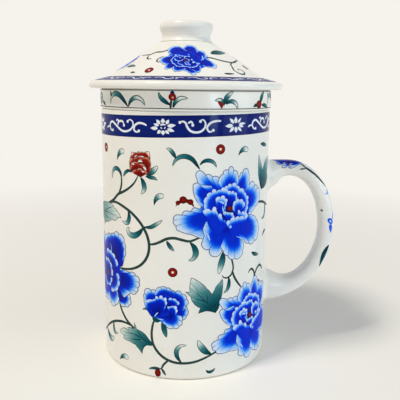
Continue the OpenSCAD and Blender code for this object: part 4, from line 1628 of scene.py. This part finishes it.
@dataclass
class Infuser:
    """The basket: a collar on the mug's rim over a tapering strainer with a holed floor."""

    collar_radius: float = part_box("infuser_basket")[1].x / MM
    collar_top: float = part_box("infuser_basket")[1].z / MM
    floor_z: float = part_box("infuser_basket")[0].z / MM
    rim_z: float = 120.0
    collar_wall: float = 3.9
    collar_round: float = 1.2
    neck_radius: float = 35.6
    neck_inner: float = 32.8
    neck_bottom: float = 112.0
    ledge_z: float = 121.2
    wall: float = 2.8
    floor_t: float = 3.0
    taper: float = 2.4
    corner: float = 9.0
    inner_corner: float = 6.0
    hole: float = 3.0
    hole_round: float = 0.35
    rows: int = 3
    row_pitch: float = 7.0
    first_row: float = 62.0
    row_holes: int = 24
    rings: int = 3
    ring_pitch: float = 6.8
    segments: int = 288
    # painted shadow: the two dark rings stand for the shadow in the gap on the mug's rim and under the lid's
    # brim
    shadow_lines: tuple[Pair, Pair] = ((120.95, 121.3), (128.35, 128.6))     # edges of the dark lines
    sprigs: int = 12
    first_sprig: float = -27.0     # along the collar from the front

    def outer_radius(self, z: np.ndarray) -> np.ndarray:
        """Outside radius of the strainer: a straight taper from the corner up to the neck."""
        low = self.floor_z + self.corner
        return self.neck_radius - self.taper * (self.neck_bottom - z) / (self.neck_bottom - low)

    def lower_shell(self) -> tuple[np.ndarray, np.ndarray]:
        """Section from the holed floor's border out round the corner, and its inner face back.

        Returns:
            The outer face and the inner one, each (n, 2).
        """
        low, edge = self.floor_z + self.corner, (self.rings + 0.5) * self.ring_pitch
        radius = self.neck_radius - self.taper
        outer = arc((radius - self.corner, low), self.corner, -90, 0, 12)
        inner = arc((radius - self.wall - self.inner_corner, low), self.inner_corner, 0, -90, 12)
        return (np.vstack([[[edge, self.floor_z]], outer]),
                np.vstack([inner, [[edge, self.floor_z + self.floor_t]]]))

    def upper_shell(self) -> np.ndarray:
        """Section from the top of the holed wall, up round the collar and down inside.

        Returns:
            An array of (n, 2).
        """
        start = self.first_row + (self.rows - 0.5) * self.row_pitch
        r, top, c = self.collar_radius, self.collar_top, self.collar_round
        inner = r - self.collar_wall
        ladder = np.linspace(start, self.neck_bottom, 8)
        outer = self.outer_radius(ladder)
        return np.vstack([
            np.stack([outer, ladder], axis=1),
            [[self.neck_radius, self.rim_z - 0.4], [self.neck_radius + 0.4, self.rim_z]],
            arc((r - c, self.rim_z + c), c, -90, 0, 8),
            upright(r, self.rim_z + c, top - c, 7),
            arc((r - c, top - c), c, 0, 90, 8),
            arc((inner + c, top - c), c, 90, 180, 8),
            arc((inner - 1.2, self.ledge_z + 2.6), 1.2, 0, -60, 5),
            arc((self.neck_inner + 0.9, self.ledge_z - 0.4), 0.9, 110, 180, 5),
            np.stack([outer[::-1] - self.wall, ladder[::-1]], axis=1),
        ])

    @staticmethod
    def border(across: np.ndarray, rise: np.ndarray) -> np.ndarray:
        """Outline of a cell, (n, 2), counterclockwise from its lower left corner.

        Args:
            across: places from its left side to its right one.
            rise: places from its lower side to its upper one.

        Returns:
            The outline, each corner once.
        """
        return np.vstack([
            np.stack([across[:-1], 0 * across[:-1] + rise[0]], axis=1),
            np.stack([0 * rise[:-1] + across[-1], rise[:-1]], axis=1),
            np.stack([across[:0:-1], 0 * across[1:] + rise[-1]], axis=1),
            np.stack([0 * rise[1:] + across[0], rise[:0:-1]], axis=1),
        ])

    def cell(self, border: np.ndarray, centre: np.ndarray) -> tuple[np.ndarray, np.ndarray]:
        """One holed cell of a wall: its border closes in on the hole, goes through and out again.

        Args:
            border: an array of (n, 2), the cell's outline.
            centre: the hole's middle.

        Returns:
            Flat points (levels, n, 2) and depths (levels, 1) into the wall.
        """
        ray = border - centre
        distance = np.linalg.norm(ray, axis=1)
        radius, e = self.hole / 2, self.hole_round
        levels = [distance, (distance + radius + e) / 2]
        levels += [r + 0 * distance for r in (radius + e, radius + 0.3 * e, radius)]
        depths = [0, 0, 0, 0.3 * e, e]
        size = np.array(levels + levels[::-1])
        depth = np.array(depths + [self.wall - d for d in depths[::-1]])
        return centre + ray / distance[:, None] * size[:, :, None], depth[:, None]

    @staticmethod
    def spun(points: np.ndarray, turns: np.ndarray) -> list[Mesh]:
        """Copies of a cell, turned about Z.

        Args:
            points: an array of (levels, n, 3), closed round the hole.
            turns: the copies' angles in radians.

        Returns:
            The meshes.
        """
        faces = grid_faces(*points.shape[:2], closed=True).tolist()
        cos, sin, none = np.cos(turns), np.sin(turns), 0 * turns
        spins = np.moveaxis(np.array([[cos, sin, none], [-sin, cos, none], [none, none, none + 1]]), 2, 0)
        return [Mesh(points.reshape(-1, 3) @ spin, faces) for spin in spins]

    def holed_wall(self) -> list[Mesh]:
        """The rows of cells, flat at the lowest radius and rolled on the tapering wall.

        Alternate rows are turned by half a cell, so their borders still share vertices.

        Returns:
            The cells.
        """
        per_cell, scale = self.segments // self.row_holes, self.neck_radius - self.taper
        pitch = 2 * np.pi / self.row_holes
        cells = []
        for row in range(self.rows):
            z = self.first_row + row * self.row_pitch
            bottom = z - self.row_pitch / 2 if row else self.floor_z + self.corner
            side = np.linspace(-pitch / 2, pitch / 2, per_cell + 1) * scale
            rise = np.linspace(bottom - z, self.row_pitch / 2, 9)
            flat, depth = self.cell(self.border(side, rise), np.zeros(2))
            height = z + flat[..., 1]
            radius = self.outer_radius(height) - depth
            points = radius[..., None] * radial(flat[..., 0] / scale) + height[..., None] * UP
            cells += self.spun(points, (np.arange(self.row_holes) + row % 2 / 2) * pitch + np.pi / 2)
        return cells

    def holed_floor(self) -> list[Mesh]:
        """The floor's cells: slices of rings about a round middle cell.

        Returns:
            The cells.
        """
        cells = []
        for ring in range(self.rings + 1):
            count = max(6 * ring, 1)
            pitch = 2 * np.pi / count
            angle = np.linspace(-pitch / 2, pitch / 2, self.segments // count + 1)
            inner, outer = (ring - 0.5) * self.ring_pitch, (ring + 0.5) * self.ring_pitch
            edge = self.border(angle, np.linspace(inner, outer, 7))
            if ring == 0:
                edge = np.stack([angle[:-1], 0 * angle[:-1] + outer], axis=1)
            outline = edge[:, 1:] * radial(edge[:, 0])[:, :2]
            flat, depth = self.cell(outline, np.array([0.0, -ring * self.ring_pitch]))
            height = self.floor_z + depth * self.floor_t / self.wall + 0 * flat[..., 0]
            points = np.concatenate([flat, height[..., None]], axis=-1)
            cells += self.spun(points, np.arange(count) * pitch + np.pi / 2)
        return cells

    def build(self, finishes: "Finishes") -> None:
        """Joins the shells and the holed cells, and paints the collar.

        Args:
            finishes: the mug's materials.
        """
        shells = [ring_strip(p, self.segments) for p in (*self.lower_shell(), self.upper_shell())]
        mesh = joined(shells + self.holed_wall() + self.holed_floor())
        add_piece("infuser_porcelain", mesh, finishes.glaze, "infuser",
                  ("infuser_basket",), merge=0.002)
        brush = Painter(WallSheet(self.collar_radius), "collar", "infuser")
        self.paint(brush)
        brush.build(finishes.enamels)

    def paint(self, brush: Painter) -> None:
        """A painted shadow line along both edges of the collar, at the gap on the mug's rim and under the
        lid's brim, and twelve sprigs in five designs.

        Args:
            brush: a painter on the collar.
        """
        around = np.linspace(-np.pi, np.pi, 361) * self.collar_radius
        # painted shadow lines along the collar's lower and upper edges
        for low, high in self.shadow_lines:
            grid = np.stack(np.broadcast_arrays(around[:, None], np.array([[low, high]])), axis=-1)
            brush.layer = 0
            brush.lay(Colour.STEM, grid, 0.8 + 0 * grid[..., 0])
        pitch = 2 * np.pi * self.collar_radius / self.sprigs
        for k in range(self.sprigs):
            spot = brush.at(self.first_sprig + k * pitch, 0)
            for mark, *values in RING_SPRIG if k in (5, 11) else SPRIGS[k % 4]:
                mark(spot, *values)

@dataclass
class Lid:
    """The lid: a cone with a broad brim over a flange, and a dished knob on top."""

    brim_radius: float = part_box("lid_shell")[1].x / MM
    seat_z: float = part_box("lid_shell")[1].z / MM
    knob_radius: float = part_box("lid_knob")[1].x / MM
    knob_top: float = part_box("lid_knob")[1].z / MM
    brim_z: float = 129.0
    brim_edge: float = 3.3
    brim_width: float = 9.5
    brim_rise: float = 2.4
    lid_wall: float = 3.2
    flange_h: float = 6.0
    flange_radius: float = 35.6
    flange_wall: float = 3.0
    seat_radius: float = 11.6
    neck_h: float = 3.6
    scrolls: int = 18

    @property
    def break_point(self) -> Pair:
        """Radius and height of the line where the cone meets the brim."""
        return self.brim_radius - self.brim_width, self.brim_z + self.brim_edge + self.brim_rise

    @property
    def slope(self) -> float:
        """The cone's slope below the horizontal, in degrees."""
        r, z = self.break_point
        return float(np.degrees(np.arctan2(self.seat_z - z, r - self.seat_radius)))

    def top_profile(self) -> np.ndarray:
        """Section over the top, from the knob's seat to the brim's lower edge.

        Returns:
            An array of (n, 2).
        """
        r, z = self.break_point
        edge, top = self.brim_edge * 0.45, self.brim_z + self.brim_edge
        slope = np.tan(np.radians(self.slope))
        ladder = np.linspace(self.seat_radius, r - 2.2, 20)
        cone = np.stack([ladder, self.seat_z - (ladder - self.seat_radius) * slope], axis=1)
        sweep = smooth_curve((cone[-1], (r - 0.9, z + 0.42), (r + 0.9, z - 0.42), (r + 3.0, z - 0.95)), 0.4)
        brim = np.linspace((r + 3.0, z - 0.95), (self.brim_radius - edge * 0.9, top - 0.05), 10)
        return np.vstack([
            cone, sweep[1:], brim[1:-1],
            arc((self.brim_radius - edge, top - edge), edge, 78, 0, 10),
            arc((self.brim_radius - edge, self.brim_z + edge), edge, 0, -90, 10),
        ])

    def shell_profile(self) -> np.ndarray:
        """The whole section, from the top centre over the brim and flange to the underside.

        Returns:
            An array of (n, 2).
        """
        bottom = self.brim_z - self.flange_h
        inner = self.flange_radius - self.flange_wall
        under = self.seat_z - self.lid_wall / np.cos(np.radians(self.slope))
        e = self.flange_wall * 0.4
        hollow = ((inner - 2.2, self.brim_z + 2.2), (24, 139.8), (self.seat_radius, under))
        return np.vstack([
            [[0, self.seat_z]], self.top_profile(),
            [[self.flange_radius + 0.5, self.brim_z]],
            arc((self.flange_radius + 0.5, self.brim_z - 0.5), 0.5, 90, 180, 4),
            arc((self.flange_radius - e, bottom + e), e, 0, -90, 8),
            arc((inner + e, bottom + e), e, -90, -180, 8),
            arc((inner - 1.2, self.brim_z - 0.4), 1.2, 0, 60, 5),
            smooth_curve(hollow, 1.5),
            [[self.seat_radius * 0.5, under], [0, under]],
        ])

    def knob_profile(self) -> np.ndarray:
        """Section of the knob: a waisted neck, a thick rounded disc and a dished top.

        Returns:
            An array of (n, 2).
        """
        seat, z, top, r = self.seat_radius, self.seat_z - 0.3, self.knob_top, self.knob_radius
        side = smooth_curve((
            (seat + 0.7, z), (seat + 0.1, z + 0.8), (seat - 0.35, z + 2.0), (seat - 0.1, z + self.neck_h),
            (r - 0.5, z + self.neck_h + 1.3), (r, z + self.neck_h + 2.6), (r - 0.1, top - 1.6),
        ), 0.25)
        crown = smooth_curve((
            (r - 0.1, top - 1.6), (r - 0.7, top - 0.45), (r - 2.0, top), (r - 3.9, top - 0.45),
            (r - 6.5, top - 1.6), (r - 9.5, top - 2.1), (0, top - 2.2),
        ), 0.3)
        return np.vstack([[[0, z]], side, crown[1:]])

    def build(self, finishes: "Finishes") -> None:
        """Turns the lid and its knob, and paints the cone and the brim.

        Args:
            finishes: the mug's materials.
        """
        for name, profile, segments, node in (
            ("lid_porcelain", self.shell_profile(), 480, "lid_shell"),
            ("knob_porcelain", self.knob_profile(), 240, "lid_knob"),
        ):
            add_piece(name, lathe(profile, segments), finishes.glaze, "lid", (node,))
        brush = Painter(self.cone_sheet(0, 0), "lid", "lid")
        self.paint(brush)
        brush.build(finishes.enamels)

    def cone_sheet(self, turn: float, down: float) -> ConeSheet:
        """The cone rolled flat about a place, down the slope from the knob's seat.

        Args:
            turn: degrees round the axis to the place.
            down: distance down the slope to it.

        Returns:
            The sheet.
        """
        slope = np.radians(self.slope)
        reach = self.seat_radius / np.cos(slope)
        return ConeSheet(self.seat_z + reach * np.sin(slope), self.slope, turn, reach + down)

    def paint(self, brush: Painter) -> None:
        """A peony spray on the front and the back, a half peony on each side, and the border.

        Args:
            brush: the lid's painter.
        """
        for turn in (-2.0, 178.0):
            self.paint_spray(brush.at(0, 0, sheet=self.cone_sheet(turn, 17.0)))
            side = brush.at(0, 0, sheet=self.cone_sheet(turn - 78.0, 18.0))
            side.vine(((0, 2), (0.6, 7), (-1.4, 11)), 0.9)
            HALF_PEONY.paint(side.at(0, 0, turn=190, scale=0.80, layer=4), 0.7)
        self.paint_border(brush)

    def paint_spray(self, brush: Painter) -> None:
        """One peony upside down with a stem to each side, curls, leaves and two berries.

        Args:
            brush: a painter at the middle of the spray.
        """
        brush.each(0, brush.vine, (
            (((8, 3.6), (10.9, 4.3), (17.6, 5.1), (21.6, 7.3), (24.4, 12.8), (26, 18.4)), 1.15),
            (((21.6, 7), (20.9, 4.4), (21.5, 2), (22.2, -0.6), (24.6, -1.6), (27, -0.2), (27.3, 2),
              (25.8, 3.3), (24.2, 2.4), (24.6, 0.9)), 0.8),
            (((-7, 9.6), (-10.6, 9), (-13.2, 10.25), (-15.7, 9.9), (-18.2, 11.6), (-21, 14.4)), 1.05),
            (((-16.2, 9.4), (-17, 7.4), (-16.4, 5.6), (-14.4, 4.8)), 0.8),
            (((-9, 4.2), (-11.2, 3.4), (-12, 1.4), (-10.6, -0.6)), 0.7),
        ))
        brush.each(2, brush.leaf, (
            (((11.6, 8.2), (14.2, 11.4), (17, 14.6), (19.6, 18)), 3.2, 0.5),
            (((17.4, -6.4), (19.6, -5.4), (21.9, -4)), 0.8, 0.2),
            (((-23.6, -2.4), (-22.6, -3.2), (-21.4, -4)), 0.9, 0.3),
            (((-27.2, 7.3), (-24.6, 5.2), (-22, 2.2)), 2.0, 0.6),
        ))
        brush.each(2, brush.berry, ((-14.8, -5.5, 2.0), (29.2, 11.0, 1.7)))
        flower = brush.at(0.4, -0.4, turn=158, scale=0.545, layer=5)
        flower.disc(Colour.COBALT, (-1.2, -3.2), 17.0, 0.93, shade=lambda r: 0.92 - 0.5 * r**6)
        PEONY.paint(flower, 0.5, 0.86)

    def paint_border(self, brush: Painter) -> None:
        """The border on the brim's slope, with small white scrolls waving along it.

        Args:
            brush: the lid's painter.
        """
        profile = self.top_profile()
        start = np.searchsorted(profile[:, 0], self.break_point[0] - 0.2)
        profile = profile[start:][::-1]
        length = running_length(profile)
        mean, inner = 40.0, length[-1] - 0.9
        outer = float(np.interp(-43.1, -profile[:, 0], length))
        border = brush.at(0, 0, sheet=ProfileSheet(profile, mean))
        x = np.linspace(-np.pi, np.pi, 721) * mean
        grid = np.stack(np.broadcast_arrays(x[:, None], np.linspace(outer, inner, 9)), axis=-1)
        border.lay(Colour.BORDER, grid, 0.7 + 0 * grid[..., 0])
        for place in (np.arange(self.scrolls) + 0.5) * 2 * np.pi * mean / self.scrolls - np.pi * mean:
            spot = border.at(place, (outer + inner) / 2, scale=0.86)
            spot.each(2, spot.white, (
                (((-7.4, 0.2), (-5.6, 1.4), (-3.4, 1), (-1.6, -0.9), (0.6, -1.3), (2.2, 0.1), (1.2, 1.3),
                  (0.1, 0.8)), 0.7),
                (((7.2, 0.3), (5.4, 1.2), (3.6, 0.6), (3.4, -0.9), (4.6, -1.3)), 0.7),
            ))


# ---- the studio

@dataclass
class Studio:
    """The plain floor, the light and the camera."""

    lens: float = 50.9
    place: tuple[float, float, float] = (0.0, -0.2745, 0.1298)
    pitch: float = 11.25      # degrees down
    yaw: float = 1.52         # degrees to the right
    roll: float = 0.68        # degrees clockwise
    backdrop: tuple = srgb(246, 242, 236)
    ambient: float = 0.31

    def build(self) -> None:
        """Sets up everything that isn't the mug."""
        self.camera()
        self.world()
        self.floor()
        self.lamp("key", (-0.50, -0.36, 1.12), 0.24, 8.9, (1.0, 0.94, 0.83))
        self.lamp("fill", (1.05, -0.42, 0.28), 0.80, 4.9, (0.72, 0.88, 1.0))
        self.lamp("window", (0.66, -0.92, 0.13), 0.20, 1.3, (0.60, 0.82, 1.0))
        bpy.context.scene.view_settings.view_transform = "Standard"

    def camera(self) -> None:
        """The camera, at the photograph's place and angles."""
        pitch, yaw, roll = (np.radians(a) for a in (self.pitch, self.yaw, self.roll))
        ahead = np.array([np.sin(yaw) * np.cos(pitch), np.cos(yaw) * np.cos(pitch), -np.sin(pitch)])
        right = np.array([np.cos(yaw), -np.sin(yaw), 0])
        up = np.cross(right, ahead)
        across = np.cos(roll) * right + np.sin(roll) * up
        above = np.cos(roll) * up - np.sin(roll) * right
        data = bpy.data.cameras.new("camera")
        data.lens = self.lens
        data.sensor_width = 36.0
        data.clip_start = 0.01
        camera = bpy.data.objects.new("camera", data)
        turn = Matrix(np.stack([across, above, -ahead], axis=1).tolist())
        camera.matrix_world = Matrix.Translation(self.place) @ turn.to_4x4()
        bpy.context.scene.collection.objects.link(camera)
        bpy.context.scene.camera = camera

    def lamp(self, name: str, place: tuple, size: float, power: float, colour: tuple) -> None:
        """A soft square lamp that faces the mug.

        Args:
            name: its name.
            place: where it hangs, in metres.
            size: its side in metres.
            power: its power in watts.
            colour: its linear RGB colour.
        """
        data = bpy.data.lights.new(name, "AREA")
        data.size = size
        data.energy = power
        data.color = colour
        lamp = bpy.data.objects.new(name, data)
        lamp.location = place
        lamp.rotation_euler = (Vector((0, 0, 0.08)) - Vector(place)).to_track_quat("-Z", "Y").to_euler()
        bpy.context.scene.collection.objects.link(lamp)

    def world(self) -> None:
        """A pale world that shows as the backdrop and gives the ambient light."""
        g = Graph(bpy.data.worlds.new("studio"), "World")
        light = g.add("Background", Color=(0.98, 0.99, 1.0, 1.0), Strength=self.ambient)
        shown = g.add("Background", Color=self.backdrop, Strength=1.0)
        mix = g.add("MixShader", i0=g.seen(), i1=light.outputs[0], i2=shown.outputs[0])
        bpy.context.scene.world = g.surface(mix)

    def floor(self) -> None:
        """A pale floor that fades into the backdrop and keeps the mug's shadow."""
        half = 3.0
        corners = [(-half, -half, 0), (half, -half, 0), (half, half, 0), (-half, half, 0)]
        data = bpy.data.meshes.new("floor")
        data.from_pydata(corners, [], [(0, 1, 2, 3)])
        g = Graph(bpy.data.materials.new("pale_floor"))
        matte = g.add("BsdfDiffuse", Color=srgb(250, 248, 242))
        glow = g.add("Emission", Color=self.backdrop, Strength=1.0)
        reach = g.add("VectorMath", operation="LENGTH", i0=g.place()).outputs["Value"]
        far = g.add("MapRange", Value=reach, From_Min=0.10, From_Max=0.50, To_Min=0.15, To_Max=1.0)
        share = g.math("MULTIPLY", g.seen(), far.outputs["Result"])
        data.materials.append(g.surface(
            g.add("MixShader", i0=share, i1=matte.outputs[0], i2=glow.outputs[0])))
        floor = bpy.data.objects.new("floor", data)
        bpy.context.scene.collection.objects.link(floor)


class Finishes:
    """Every material of the mug, built once."""

    def __init__(self) -> None:
        """Builds the glaze, the glaze with a bare foot, and the painter's colours."""
        self.glaze = Glaze().material()
        self.footed = Glaze(name="footed_glaze", bare_below=1.0).material()
        self.enamels = {colour: enamel.material() for colour, enamel in ENAMELS.items()}


def main() -> None:
    """Builds the studio and the mug's sub-assemblies."""
    Studio().build()
    finishes = Finishes()
    for part in (Mug(), Handle(), Infuser(), Lid()):
        log.info("building %s", type(part).__name__)
        part.build(finishes)


if __name__ == "__main__":
    logging.basicConfig(level=logging.INFO, format="%(message)s")
    main()
